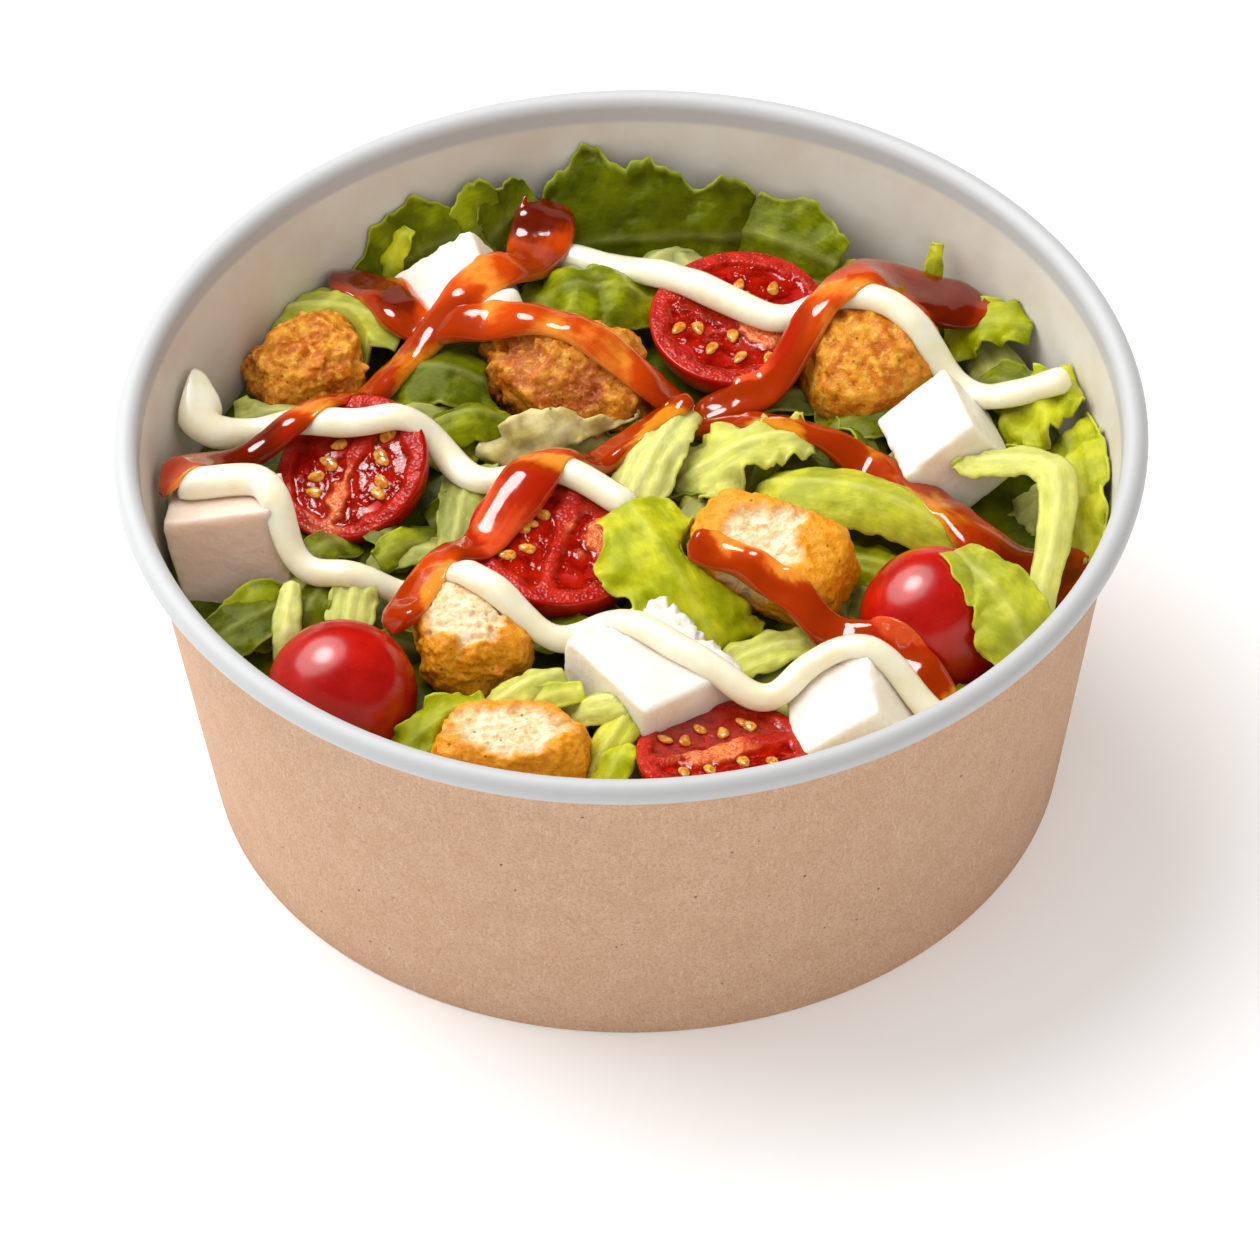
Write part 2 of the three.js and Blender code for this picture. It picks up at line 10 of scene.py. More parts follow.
from math import atan2, ceil, cos, exp, hypot, pi, radians, sin, sqrt
from random import Random

import bmesh
import bpy
from mathutils import Matrix, Vector, noise
from mathutils.bvhtree import BVHTree


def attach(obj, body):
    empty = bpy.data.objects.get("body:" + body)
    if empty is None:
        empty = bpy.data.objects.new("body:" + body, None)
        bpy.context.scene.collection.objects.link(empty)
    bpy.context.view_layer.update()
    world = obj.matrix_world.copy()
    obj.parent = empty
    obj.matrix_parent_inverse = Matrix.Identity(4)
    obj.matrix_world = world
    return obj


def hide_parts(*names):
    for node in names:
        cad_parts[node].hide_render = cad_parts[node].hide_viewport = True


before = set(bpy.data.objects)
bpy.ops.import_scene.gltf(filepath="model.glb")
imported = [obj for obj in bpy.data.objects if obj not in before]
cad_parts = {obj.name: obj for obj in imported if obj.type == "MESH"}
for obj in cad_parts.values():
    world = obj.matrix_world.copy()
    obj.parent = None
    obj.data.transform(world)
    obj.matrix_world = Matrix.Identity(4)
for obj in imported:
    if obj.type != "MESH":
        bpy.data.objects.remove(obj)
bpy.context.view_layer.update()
MM = 0.001

# %% [markdown]
# ## The camera
#
# The bowl was seen from far away through a long lens, so its rim is almost a true ellipse. A
# wide lens close by would give the same size but swell the near side. The camera stands 4.3
# metres from the middle of the rim, 43 degrees up, and is aimed a little below the rim, so that
# no lens shift is needed to frame the bowl.

# %% Camera
RIM_CENTRE = Vector((0, 0, 60.8)) * MM
CAMERA_DISTANCE = 4.3376
CAMERA_ELEVATION = radians(42.97)
CAMERA_ROLL = radians(-1.34)
LENS = 857.14
SENSOR = 36
PICTURE_SIDE = 1260
RIM_CENTRE_PIXEL = (629.95, 434.55)


def photo_camera():
    """A camera at the photograph's place, with its horizon tilted as the photograph's is."""
    ahead = Vector((0, cos(CAMERA_ELEVATION), -sin(CAMERA_ELEVATION)))
    level = Vector((1, 0, 0))
    upright = level.cross(ahead)
    across = cos(CAMERA_ROLL) * level + sin(CAMERA_ROLL) * upright
    above = cos(CAMERA_ROLL) * upright - sin(CAMERA_ROLL) * level
    per_pixel = SENSOR / LENS / PICTURE_SIDE
    aim = ahead + across * (PICTURE_SIDE / 2 - RIM_CENTRE_PIXEL[0]) * per_pixel
    aim = (aim - above * (PICTURE_SIDE / 2 - RIM_CENTRE_PIXEL[1]) * per_pixel).normalized()
    side = aim.cross(above).normalized()
    turn = Matrix((side, side.cross(aim), -aim)).transposed()
    lens = bpy.data.cameras.new("camera")
    lens.lens = LENS
    lens.sensor_width = SENSOR
    camera = bpy.data.objects.new("camera", lens)
    place = RIM_CENTRE - ahead * CAMERA_DISTANCE
    camera.matrix_world = Matrix.Translation(place) @ turn.to_4x4()
    bpy.context.collection.objects.link(camera)
    bpy.context.scene.camera = camera
    return camera


camera = photo_camera()
print("camera at", [round(v, 3) for v in camera.location])

# %% [markdown]
# ## Light and floor
#
# The tomatoes carry one large soft reflection high on their left, and the bowl's shadow lies to
# its right and in front. So the main light is a wide soft box behind the bowl's left shoulder.
# Two weak boxes and a white room fill the shadows, cool from the side and warm from the front.
# Only the soft box is seen in the gloss: a room that showed there too would lay a grey haze over
# the deep reds. For the same reason the wettest pieces get the soft box without its reflection,
# and a small bright lamp beside it makes their crisp glints. The floor is one plain pale sheet.

# %% Light and floor
KEY_FROM = Vector((-0.48, 0.36, 0.80)).normalized()
KEY_DISTANCE = 0.75
KEY_SIDE = 1.0
KEY_POWER = 9
SIDE_FROM = Vector((-0.85, -0.42, 0.16)).normalized()
SIDE_POWER = 2.2
FRONT_FROM = Vector((0.35, -0.7, 0.62)).normalized()
FRONT_POWER = 2.6
GLINT_FROM = Vector((-0.42, 0.3, 0.85)).normalized()
GLINT_SIDE = 0.35
GLINT_POWER = 4.2
FILL_DISTANCE = 1.3
FILL_SIDE = 1.0
BOX_SQUASH = 0.95
COOL = (0.7, 0.92, 1.08)
WARM = (1.0, 0.93, 0.82)
ROOM_LIGHT = 0.53
FLOOR_PAINT = (0.93, 0.93, 0.93, 1)
FLOOR_ROUGHNESS = 0.9
FLOOR_GLOW = 0.14
FLOOR_SIDE = 12


def soft_box(name, direction, distance, side, power):
    """A rounded area light that faces the bowl."""
    light = bpy.data.lights.new(name, "AREA")
    light.shape = "ELLIPSE"
    light.size = side
    light.size_y = side * BOX_SQUASH
    light.energy = power
    box = bpy.data.objects.new(name, light)
    box.location = RIM_CENTRE + direction * distance
    box.rotation_euler = (-direction).to_track_quat("-Z", "Y").to_euler()
    bpy.context.collection.objects.link(box)
    return box


def white_room():
    """Even light from all round, a little brighter above."""
    world = bpy.data.worlds.new("room")
    bpy.context.scene.world = world
    world.use_nodes = True
    background = world.node_tree.nodes["Background"]
    background.inputs["Color"].default_value = (1, 1, 1, 1)
    background.inputs["Strength"].default_value = ROOM_LIGHT
    world.cycles_visibility.glossy = False


def pale_floor():
    """A wide plain sheet at the height of the bowl's foot."""
    shape = bmesh.new()
    bmesh.ops.create_grid(shape, x_segments=2, y_segments=2, size=FLOOR_SIDE / 2)
    mesh = bpy.data.meshes.new("floor")
    shape.to_mesh(mesh)
    shape.free()
    floor = bpy.data.objects.new("floor", mesh)
    bpy.context.collection.objects.link(floor)
    paint = bpy.data.materials.new("floor_paint")
    paint.use_nodes = True
    shader = paint.node_tree.nodes["Principled BSDF"]
    shader.inputs["Base Color"].default_value = FLOOR_PAINT
    shader.inputs["Roughness"].default_value = FLOOR_ROUGHNESS
    shader.inputs["Emission Color"].default_value = (1, 1, 1, 1)
    shader.inputs["Emission Strength"].default_value = FLOOR_GLOW
    floor.data.materials.append(paint)


key = soft_box("key_light", KEY_FROM, KEY_DISTANCE, KEY_SIDE, KEY_POWER)
side_fill = soft_box("side_fill", SIDE_FROM, FILL_DISTANCE, FILL_SIDE, SIDE_POWER)
front_fill = soft_box("front_fill", FRONT_FROM, FILL_DISTANCE, FILL_SIDE, FRONT_POWER)
side_fill.data.color = COOL
front_fill.data.color = WARM
side_fill.visible_glossy = front_fill.visible_glossy = False
glint = soft_box("glint", GLINT_FROM, KEY_DISTANCE, GLINT_SIDE, GLINT_POWER)
glint.visible_diffuse = False
matt_key = soft_box("matt_key", KEY_FROM, KEY_DISTANCE, KEY_SIDE, KEY_POWER)
matt_key.visible_glossy = False
white_room()
pale_floor()
bpy.context.scene.view_settings.view_transform = "Standard"
print("lights:", key.name, matt_key.name, side_fill.name, front_fill.name, glint.name)

# %% [markdown]
# ## A way to write finishes
#
# A finish on real food or paper is a colour that varies, a gloss and a fine relief. In Blender
# that is a Principled shader with a few texture nodes in front of it. The small class below
# keeps each finish down to a few lines: it holds the material, adds nodes and joins them.
# Textures read Object coordinates, so that their grain has a true size in millimetres.

# %% Finish helper
def tint(red, green, blue):
    """A screen colour, 0 to 255, as the linear light that shaders work in."""
    def linear(value):
        value /= 255
        return value / 12.92 if value <= 0.04045 else ((value + 0.055) / 1.055) ** 2.4
    return (linear(red), linear(green), linear(blue), 1)


class Finish:
    """A material with one Principled shader, and short ways to feed it."""

    def __init__(self, name, **plain):
        self.material = bpy.data.materials.new(name)
        self.material.use_nodes = True
        self.nodes = self.material.node_tree.nodes
        self.links = self.material.node_tree.links
        self.shader = self.nodes["Principled BSDF"]
        self.set(self.shader, **plain)

    def feed(self, socket, value):
        """Joins another node's result to a socket, or writes a plain value in it."""
        if isinstance(value, bpy.types.NodeSocket):
            self.links.new(value, socket)
        else:
            socket.default_value = value

    def set(self, node, **values):
        for name, value in values.items():
            self.feed(node.inputs[name.replace("_", " ")], value)

    def add(self, kind, **values):
        node = self.nodes.new(kind)
        self.set(node, **values)
        return node

    def place(self, stretch=(1, 1, 1)):
        """Object coordinates, stretched along each axis."""
        where = self.add("ShaderNodeTexCoord").outputs["Object"]
        return self.add("ShaderNodeMapping", Vector=where, Scale=stretch).outputs["Vector"]

    def own(self, name):
        """An attribute that the piece carries, as one number."""
        node = self.add("ShaderNodeAttribute")
        node.attribute_name = name
        return node.outputs["Fac"]

    def grain(self, size, detail=3, vector=None, rough=0.55, warp=0):
        """Cloudy noise whose lumps are size millimetres across, from about 0.3 to 0.7."""
        vector = vector or self.place()
        node = self.add("ShaderNodeTexNoise", Vector=vector, Scale=1 / (size * MM), Detail=detail,
                        Roughness=rough, Distortion=warp)
        return node.outputs["Fac"]

    def cells(self, size, vector=None, feature="F1"):
        """Distance inside cells that are size millimetres across."""
        vector = vector or self.place()
        node = self.add("ShaderNodeTexVoronoi", Vector=vector, Scale=1 / (size * MM))
        node.feature = feature
        return node.outputs["Distance"]

    def span(self, value, low, high, to_low=0, to_high=1):
        """value, with low to high mapped smoothly to to_low to to_high, and held outside it."""
        node = self.add("ShaderNodeMapRange")
        node.interpolation_type = "SMOOTHSTEP"
        for socket, number in zip(node.inputs, (value, low, high, to_low, to_high)):
            self.feed(socket, number)
        return node.outputs["Result"]

    def sum(self, first, second, way="ADD"):
        node = self.add("ShaderNodeMath")
        node.operation = way
        self.feed(node.inputs[0], first)
        self.feed(node.inputs[1], second)
        return node.outputs["Value"]

    def times(self, first, second):
        return self.sum(first, second, "MULTIPLY")

    def blend(self, share, first, second):
        """The colour first where share is 0 and second where it is 1."""
        node = self.add("ShaderNodeMix")
        node.data_type = "RGBA"
        for number, value in ((0, share), (6, first), (7, second)):
            self.feed(node.inputs[number], value)
        return node.outputs[2]

    def colour(self, value):
        self.set(self.shader, Base_Color=value)

    def let_light_in(self, share, *depths):
        """A share of the light goes in, by depths of red, green and blue in millimetres."""
        self.set(self.shader, Subsurface_Weight=share, Subsurface_Scale=1,
                 Subsurface_Radius=[depth * MM for depth in depths])

    def relief(self, height, depth, strength=1):
        """Bumps of depth millimetres. A second call adds to the first."""
        node = self.add("ShaderNodeBump", Height=height, Distance=depth * MM, Strength=strength)
        before = self.shader.inputs["Normal"]
        if before.is_linked:
            self.links.new(before.links[0].from_socket, node.inputs["Normal"])
        self.links.new(node.outputs["Normal"], before)


print("finish helper ready")

# %% [markdown]
# ## Turning a shape into a piece
#
# Every piece is shaped in a bmesh and then becomes an object at the origin, with its place in
# its mesh. It rides on the one body, and the imported nodes that it stands for are hidden.

# %% Piece helper
def surface(mesh):
    """Smooth shading, so that the facets of a curved piece don't show."""
    mesh.polygons.foreach_set("use_smooth", [True] * len(mesh.polygons))


def finish_piece(name, shape, finishes, slot, *nodes):
    """Makes the bmesh an object that rides on the bowl and stands for the nodes."""
    mesh = bpy.data.meshes.new(name)
    shape.to_mesh(mesh)
    shape.free()
    surface(mesh)
    piece = bpy.data.objects.new(name, mesh)
    bpy.context.collection.objects.link(piece)
    for finish in finishes:
        mesh.materials.append(finish.material)
    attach(piece, "root")
    if nodes:
        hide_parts(*nodes)
    print(f"{name}: {len(mesh.polygons)} faces for {', '.join(nodes) or 'what lies on top'}")
    return piece


def new_marks(shape, *names):
    """New attributes, one number for each vertex, that a finish reads by name."""
    return [shape.verts.layers.float.new(name) for name in names]


def fractal(point, size, octaves=3):
    """Noise from about -1 to 1, in lumps of size millimetres; point is in millimetres."""
    return noise.fractal(point / size, 1.0, 2.0, octaves, noise_basis="PERLIN_ORIGINAL")


def blend_step(value, low, high):
    """0 below low, 1 above high and a smooth rise between them."""
    share = min(max((value - low) / (high - low), 0), 1)
    return share * share * (3 - 2 * share)


print("piece helper ready")

# %% [markdown]
# ## The paper bowl
#
# The real bowl is a rolled cone of coated kraft board: its top edge is curled outwards into a
# bead, its foot is folded in round a raised base. A lathe is the natural way, so one outline is
# spun round. The coated white side is curled to the outside on the bead, so the brown starts
# just below it. Each face is given its paper by where it lies.

# %% Bowl dimensions
RIM_HEIGHT = 61
RIM_RADIUS = 75
FOOT_RADIUS = 61.7
PAPER = 0.6
BEAD_RADIUS = 1.85
FOOT_FOLD_WIDTH = 1.5
FOOT_FOLD_HEIGHT = 5
FOOT_ROUNDING = 0.2
FOOT_RISE = 0.25
PAPER_GAP = 0.35
BASE_HEIGHT = FOOT_FOLD_HEIGHT + PAPER_GAP
BASE_RING = 30
BEAD_HEIGHT = RIM_HEIGHT - BEAD_RADIUS
BEAD_MIDDLE = RIM_RADIUS - BEAD_RADIUS
BROWN_TOP = BEAD_HEIGHT - BEAD_RADIUS * 0.8
# Heights at which the bead's painted shade begins and is full.
RIM_SHADE_FROM, RIM_SHADE_FULL = 56.8, 57.8
WALL_SLOPE = (BEAD_MIDDLE - BEAD_RADIUS - FOOT_RADIUS + PAPER) / BEAD_HEIGHT
WALL_TOP = 56
RINGS_APART = 4
BEAD_STEPS = 20
BOWL_STEPS = 192


def inner_wall(height):
    """The bowl's inner radius at a height."""
    return FOOT_RADIUS - PAPER + WALL_SLOPE * height


print("inner radius at the food:", round(inner_wall(45), 1), "mm")

# %% [markdown]
# Kraft paper is brown wood pulp: fine pale and dark fibres lie every way in it, with a few dark
# specks of bark. Three sizes of noise give the mottling, stretched noise gives the fibres and
# rare cells give the specks. The white side is smooth and only slightly uneven; over the bead it
# is greyed, which is painted shade.

# %% Paper finishes
def kraft_finish():
    kraft = Finish("kraft_paper", Roughness=0.82, Specular_IOR_Level=0.25)
    cloud = kraft.grain(5, 4)
    pulp = kraft.grain(0.38, 4)
    fibre = kraft.grain(0.5, 2, kraft.place((1, 1, 0.22)), warp=1.5)
    lying = kraft.grain(0.5, 2, kraft.place((0.3, 0.3, 1.2)), warp=2)
    base = kraft.blend(kraft.span(cloud, 0.35, 0.65), tint(201, 163, 133), tint(206, 169, 140))
    base = kraft.blend(kraft.span(pulp, 0.4, 0.7, 0, 0.75), base, tint(178, 138, 109))
    base = kraft.blend(kraft.span(fibre, 0.56, 0.72, 0, 0.5), base, tint(220, 190, 164))
    base = kraft.blend(kraft.span(lying, 0.64, 0.76, 0, 0.4), base, tint(154, 112, 84))
    speck = kraft.span(kraft.cells(3.6), 0.05, 0.09, 1, 0)
    speck = kraft.times(speck, kraft.span(cloud, 0.5, 0.56))
    kraft.colour(kraft.blend(kraft.times(speck, 0.8), base, tint(86, 52, 38)))
    kraft.relief(pulp, 0.05)
    return kraft


def white_paper_finish():
    white = Finish("white_paper", Roughness=0.42, Specular_IOR_Level=0.4)
    cloud = white.grain(9, 3)
    coated = white.blend(white.span(cloud, 0.3, 0.7), tint(218, 209, 194), tint(225, 220, 209))
    height = white.add("ShaderNodeSeparateXYZ", Vector=white.place()).outputs["Z"]
    # Above these heights the bead, the same white paper, is greyed: painted shade.
    painted_rim_shade = white.span(height, RIM_SHADE_FROM * MM, RIM_SHADE_FULL * MM)
    white.colour(white.blend(painted_rim_shade, coated, tint(191, 191, 191)))
    white.relief(white.grain(2.5, 3), 0.05)
    return white


kraft = kraft_finish()
white_paper = white_paper_finish()
print("paper finishes:", kraft.material.name, white_paper.material.name)

# %% Bowl wall and base
def outline(shape, points):
    """A chain of edges through points of radius and height."""
    verts = [shape.verts.new((radius * MM, 0, height * MM)) for radius, height in points]
    return verts + [shape.edges.new(pair) for pair in zip(verts, verts[1:])]


def spun(shape, points, steps=BOWL_STEPS):
    """The outline turned once about the bowl's axis into a closed shell."""
    chain = outline(shape, points)
    bmesh.ops.spin(shape, geom=chain, cent=(0, 0, 0), axis=(0, 0, 1), angle=2 * pi, steps=steps,
                   use_merge=True)
    bmesh.ops.remove_doubles(shape, verts=shape.verts, dist=1e-6)
    bmesh.ops.recalc_face_normals(shape, faces=shape.faces)


def wall_points():
    """Foot, outer wall, round the bead, inner wall and the folded foot, back to the start."""
    outer_top = inner_wall(BEAD_HEIGHT) + PAPER
    reach = BEAD_MIDDLE - outer_top
    first = pi + atan2(sqrt(BEAD_RADIUS ** 2 - reach ** 2), reach)
    points = [(FOOT_RADIUS - FOOT_ROUNDING, 0), (FOOT_RADIUS, FOOT_RISE)]
    points += [(FOOT_RADIUS + WALL_SLOPE * height, height)
               for height in range(RINGS_APART, WALL_TOP, RINGS_APART)]
    for step in range(BEAD_STEPS + 1):
        angle = first + (3 * pi - first) * step / BEAD_STEPS
        points.append((BEAD_MIDDLE + BEAD_RADIUS * cos(angle), BEAD_HEIGHT + BEAD_RADIUS * sin(angle)))
    points += [(inner_wall(height), height)
               for height in range(WALL_TOP - 2, FOOT_FOLD_HEIGHT, -RINGS_APART)]
    fold = FOOT_RADIUS - FOOT_FOLD_WIDTH
    points += [(inner_wall(FOOT_FOLD_HEIGHT), FOOT_FOLD_HEIGHT), (fold, FOOT_FOLD_HEIGHT)]
    return points + [(fold, FOOT_ROUNDING), (fold + FOOT_ROUNDING, 0), points[0]]


def bowl_wall():
    shape = bmesh.new()
    spun(shape, wall_points())
    for face in shape.faces:
        middle = face.calc_center_median()
        radius = hypot(middle.x, middle.y) / MM
        height = middle.z / MM
        outside = radius > inner_wall(height) + PAPER / 2 and height < BROWN_TOP
        face.material_index = 0 if outside or height < FOOT_FOLD_HEIGHT else 1
    return finish_piece("bowl", shape, [kraft, white_paper], "kraft_paper", "bowl_wall")


def bowl_base():
    shape = bmesh.new()
    low, high = BASE_HEIGHT, BASE_HEIGHT + PAPER
    edge_low, edge_high = inner_wall(low) - PAPER_GAP, inner_wall(high) - PAPER_GAP
    under = [(0, low), (BASE_RING, low), (edge_low, low)]
    spun(shape, under + [(edge_high, high), (BASE_RING, high), (0, high)])
    for face in shape.faces:
        face.material_index = 0 if face.calc_center_median().z < (low + PAPER / 2) * MM else 1
    return finish_piece("bowl_floor", shape, [kraft, white_paper], "white_paper", "bowl_base")


bowl_wall()
bowl_base()

# %% [markdown]
# ## Where the food lies
#
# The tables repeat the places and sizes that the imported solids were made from: the middle of
# each piece, its size and how it is turned. A rounded block is described by one number, how
# square it is: 2 is an egg shape and 4 is nearly a box. The same number later tells whether a
# leaf would run through a piece, and pushes it out.

# %% Toppings
TOMATO_HALVES = [
    dict(at=(-40.7, 10.4, 46), radius=11.7, normal=(-0.36, -0.31, 0.88), septum=62, heart=(-0.25, -0.42),
         seed=1),
    dict(at=(-10.2, -7.2, 48), radius=13.4, normal=(0.03, -0.1, 1), septum=76, heart=(0.36, -0.1), seed=2),
    dict(at=(16.4, 39.4, 47), radius=13.2, normal=(0, -0.09, 1), septum=-28, heart=(0.3, -0.22), seed=3),
    dict(at=(12.2, -52, 47), radius=12.6, normal=(0, 0.15, 1), septum=15, heart=(-0.1, -0.1), seed=4),
]
HALF_DEPTH = 0.82

WHOLE_TOMATOES = [
    dict(at=(-42.4, -35.1, 43.5), radius=11.1, stem=(0.75, -0.1, -0.6)),
    dict(at=(43.4, -22.6, 43.5), radius=11.1, stem=(0.2, 0.9, -0.4)),
]

CHICKEN = [
    dict(at=(-47, 35, 42.5), size=(20, 16, 14), turn=15, tilt=(0, 0), square=2.6),
    dict(at=(-7.8, 30, 43.5), size=(26, 19, 16), turn=-12, tilt=(14, 0), square=3),
    dict(at=(35.5, 31.3, 44), size=(22, 21, 19), turn=20, tilt=(0, 0), square=2.4),
    dict(at=(20.1, -12.1, 47), size=(25, 15, 14), turn=-28, tilt=(12, 0), square=4),
    dict(at=(-23.5, -24.7, 45), size=(17, 19, 15), turn=10, tilt=(10, 0), square=3),
    dict(at=(-18, -49.6, 45), size=(23, 14, 13), turn=-3, tilt=(0, 0), square=3.4),
]

CHEESE = [
    dict(at=(-24, 47.5, 44), size=(14, 13, 12), turn=13, tilt=(4, -33)),
    dict(at=(-57.5, -2, 42.5), size=(16.5, 12, 17), turn=-6, tilt=(-12, -14)),
    dict(at=(46, 13, 45), size=(13, 16, 12), turn=20, tilt=(-11, -33)),
    dict(at=(2.5, -35.5, 45), size=(18, 20, 12), turn=35, tilt=(0, 4)),
    dict(at=(32, -45.5, 44.5), size=(15, 15, 15), turn=4, tilt=(2, -35)),
]
CHEESE_SQUARE = 9


def turned_place(at, turn, tilt):
    """The matrix that lays a piece down: turned about the vertical, then tilted both ways."""
    turning = Matrix.Rotation(radians(turn), 4, "Z")
    pitching = Matrix.Rotation(radians(tilt[1]), 4, "Y") @ Matrix.Rotation(radians(tilt[0]), 4, "X")
    return Matrix.Translation(at) @ turning @ pitching


def face_place(at, normal):
    """The matrix that lays a cut face at a point, looking along its normal."""
    facing = Vector((0, 0, 1)).rotation_difference(Vector(normal).normalized())
    return Matrix.Translation(at) @ facing.to_matrix().to_4x4()


def block_place(row):
    """The place of a chicken piece or cheese cube, and half its size."""
    return turned_place(row["at"], row["turn"], row["tilt"]), Vector(row["size"]) / 2


def solid_body(place, half, square, flat=False):
    return dict(place=place, inverse=place.inverted(), half=half, square=square, flat=flat)


def all_bodies():
    """Every topping as a rounded block, for keeping the leaves out of it."""
    bodies = []
    for row in TOMATO_HALVES:
        half = (row["radius"], row["radius"], HALF_DEPTH * row["radius"])
        bodies.append(solid_body(face_place(row["at"], row["normal"]), half, 2, flat=True))
    for row in WHOLE_TOMATOES:
        bodies.append(solid_body(Matrix.Translation(row["at"]), (row["radius"],) * 3, 2))
    for row in CHICKEN + CHEESE:
        bodies.append(solid_body(*block_place(row), row.get("square", CHEESE_SQUARE)))
    return bodies


bodies = all_bodies()
print("toppings:", len(bodies))

# %% [markdown]
# ## Cherry tomatoes
#
# A cut cherry tomato shows a thin bright skin, a ring of pink flesh, two pockets of dark red
# gel with pale seeds, and a paler wall of flesh between the pockets. One ball is enough: its
# lower half is the dome, and its upper half is pressed flat into the cut face, whose relief and
# colours come from one rule for how much of each spot is gel.

# %% Tomato finishes
def tomato_skin_finish():
    skin = Finish("tomato_skin", Roughness=0.22, Specular_IOR_Level=0.55)
    skin.let_light_in(0.2, 2.2, 0.6, 0.3)
    cloud = skin.grain(7, 3)
    fleck = skin.cells(0.7)
    red = skin.blend(skin.span(cloud, 0.35, 0.7), tint(164, 8, 1), tint(192, 18, 2))
    skin.colour(skin.blend(skin.span(fleck, 0.08, 0.2, 0.18, 0), red, tint(232, 90, 50)))
    skin.relief(skin.grain(4, 2), 0.05)
    return skin


def tomato_flesh_finish():
    flesh = Finish("tomato_flesh", Specular_IOR_Level=0.3, Coat_Roughness=0.05)
    flesh.let_light_in(0.25, 3, 0.9, 0.3)
    gel, pale = flesh.own("gel"), flesh.own("pale")
    cloud, cell, streak = flesh.grain(2.2, 4), flesh.cells(0.5), flesh.grain(1.2, 4, warp=2)
    pulp = flesh.blend(flesh.span(cloud, 0.35, 0.65), tint(160, 14, 3), tint(188, 34, 8))
    heart = flesh.blend(flesh.span(streak, 0.35, 0.65), tint(206, 76, 30), tint(238, 146, 84))
    pulp = flesh.blend(pale, pulp, heart)
    # Paler spots at the middle of each flesh cell: partly the flesh's own cells, partly painted highlight.
    pulp = flesh.blend(flesh.span(cell, 0.15, 0.4, 0.15, 0), pulp, tint(222, 96, 64))
    wet = flesh.blend(flesh.span(cloud, 0.3, 0.7), tint(120, 6, 0), tint(172, 24, 4))
    flesh.colour(flesh.blend(gel, pulp, wet))
    flesh.set(flesh.shader, Roughness=flesh.span(gel, 0, 1, 0.3, 0.08),
              Coat_Weight=flesh.span(gel, 0, 1, 0, 0.55))
    flesh.relief(flesh.times(cell, flesh.span(gel, 0, 0.7, 1, 0)), 0.1)
    flesh.relief(flesh.grain(1.6, 2), 0.45)
    return flesh


def seed_finish():
    seed = Finish("tomato_seed", Roughness=0.2, Coat_Weight=0.6, Coat_Roughness=0.08)
    seed.let_light_in(0.3, 1.2, 0.8, 0.3)
    cloud = seed.grain(0.8, 2)
    seed.colour(seed.blend(seed.span(cloud, 0.4, 0.62), tint(200, 112, 20), tint(228, 166, 66)))
    return seed


tomato_skin = tomato_skin_finish()
tomato_flesh = tomato_flesh_finish()
tomato_seed = seed_finish()
print("tomato finishes:", *(finish.material.name for finish in (tomato_skin, tomato_flesh, tomato_seed)))

# %% Tomato shapes
BALL_STEPS = 96
FLESH_RING = 0.84
RING_SOFTNESS = 0.07
WALL_EDGE = (0.05, 0.12)
HEART_EDGE = (0.18, 0.29)
EDGE_WOBBLE = 0.08
FACE_CROWN = 0.35
FACE_LUMPS = 0.22
GEL_DEPTH = 0.55
SEEDS_PER_POCKET = 6
SEED_SIZE = (1.35, 0.85, 0.42)
SEED_RUN = 0.58
SEED_ASIDE = 0.27
SEED_BAND = 0.32
SEED_LIMIT = 0.72
WHOLE_RINGS = 64
DIMPLE_DEPTH = 0.1
DIMPLE_SPREAD = 0.02
UNEVEN = 0.012
LOOSE = 0.99


def face_axes(x, y, row):
    """A spot of a cut face, measured along the wall between its pockets and across it."""
    angle = radians(row["septum"])
    return x * cos(angle) + y * sin(angle), y * cos(angle) - x * sin(angle)


def from_heart(x, y, row):
    """Distance of a spot from the pale heart of the face, which is longer along the wall."""
    along, aside = face_axes(x - row["heart"][0], y - row["heart"][1], row)
    return hypot(0.75 * along, 1.2 * aside)


def gel_share(x, y, row):
    """How much of a spot on a cut face is gel. x and y run from -1 to 1 across the face."""
    along, aside = face_axes(x, y, row)
    wobble = EDGE_WOBBLE * fractal(Vector((x * 9, y * 9, row["seed"] * 7)), 3)
    ring = 1 - blend_step(hypot(x, y) + wobble, FLESH_RING - RING_SOFTNESS, FLESH_RING)
    wall = blend_step(abs(aside) + wobble - 0.05 * sin(4 * along), *WALL_EDGE)
    heart = blend_step(from_heart(x, y, row) + 2 * wobble, *HEART_EDGE)
    return ring * wall * heart


def tomato_seeds(shape, row, place):
    """Flat pale seeds in both pockets, their points towards the wall between them."""
    chance = Random(row["seed"])
    angle = radians(row["septum"])
    turn = Matrix.Rotation(angle, 4, "Z")
    for number in range(SEEDS_PER_POCKET * 2):
        side = 1 if number % 2 else -1
        along = -SEED_RUN + 2 * SEED_RUN * (number // 2 + chance.random()) / SEEDS_PER_POCKET
        aside = side * (SEED_ASIDE + SEED_BAND * chance.random())
        x = along * cos(angle) - aside * sin(angle)
        y = along * sin(angle) + aside * cos(angle)
        if hypot(along, aside) > SEED_LIMIT or gel_share(x, y, row) < 0.7:
            continue
        spot = Vector((along, aside, 0)) * row["radius"]
        spin = Matrix.Rotation(side * pi / 2 + chance.uniform(-0.7, 0.7), 4, "Z")
        lean = Matrix.Rotation(chance.uniform(-0.35, 0.35), 4, "X")
        made = bmesh.ops.create_icosphere(shape, subdivisions=3, radius=1)
        lie = place @ turn @ Matrix.Translation(spot + Vector((0, 0, -0.05))) @ spin @ lean
        for vert in made["verts"]:
            local = vert.co * Vector(SEED_SIZE)
            local.y *= 1 - 0.3 * vert.co.x
            vert.co = (lie @ local) * MM
        for face in {face for vert in made["verts"] for face in vert.link_faces}:
            face.material_index = 2


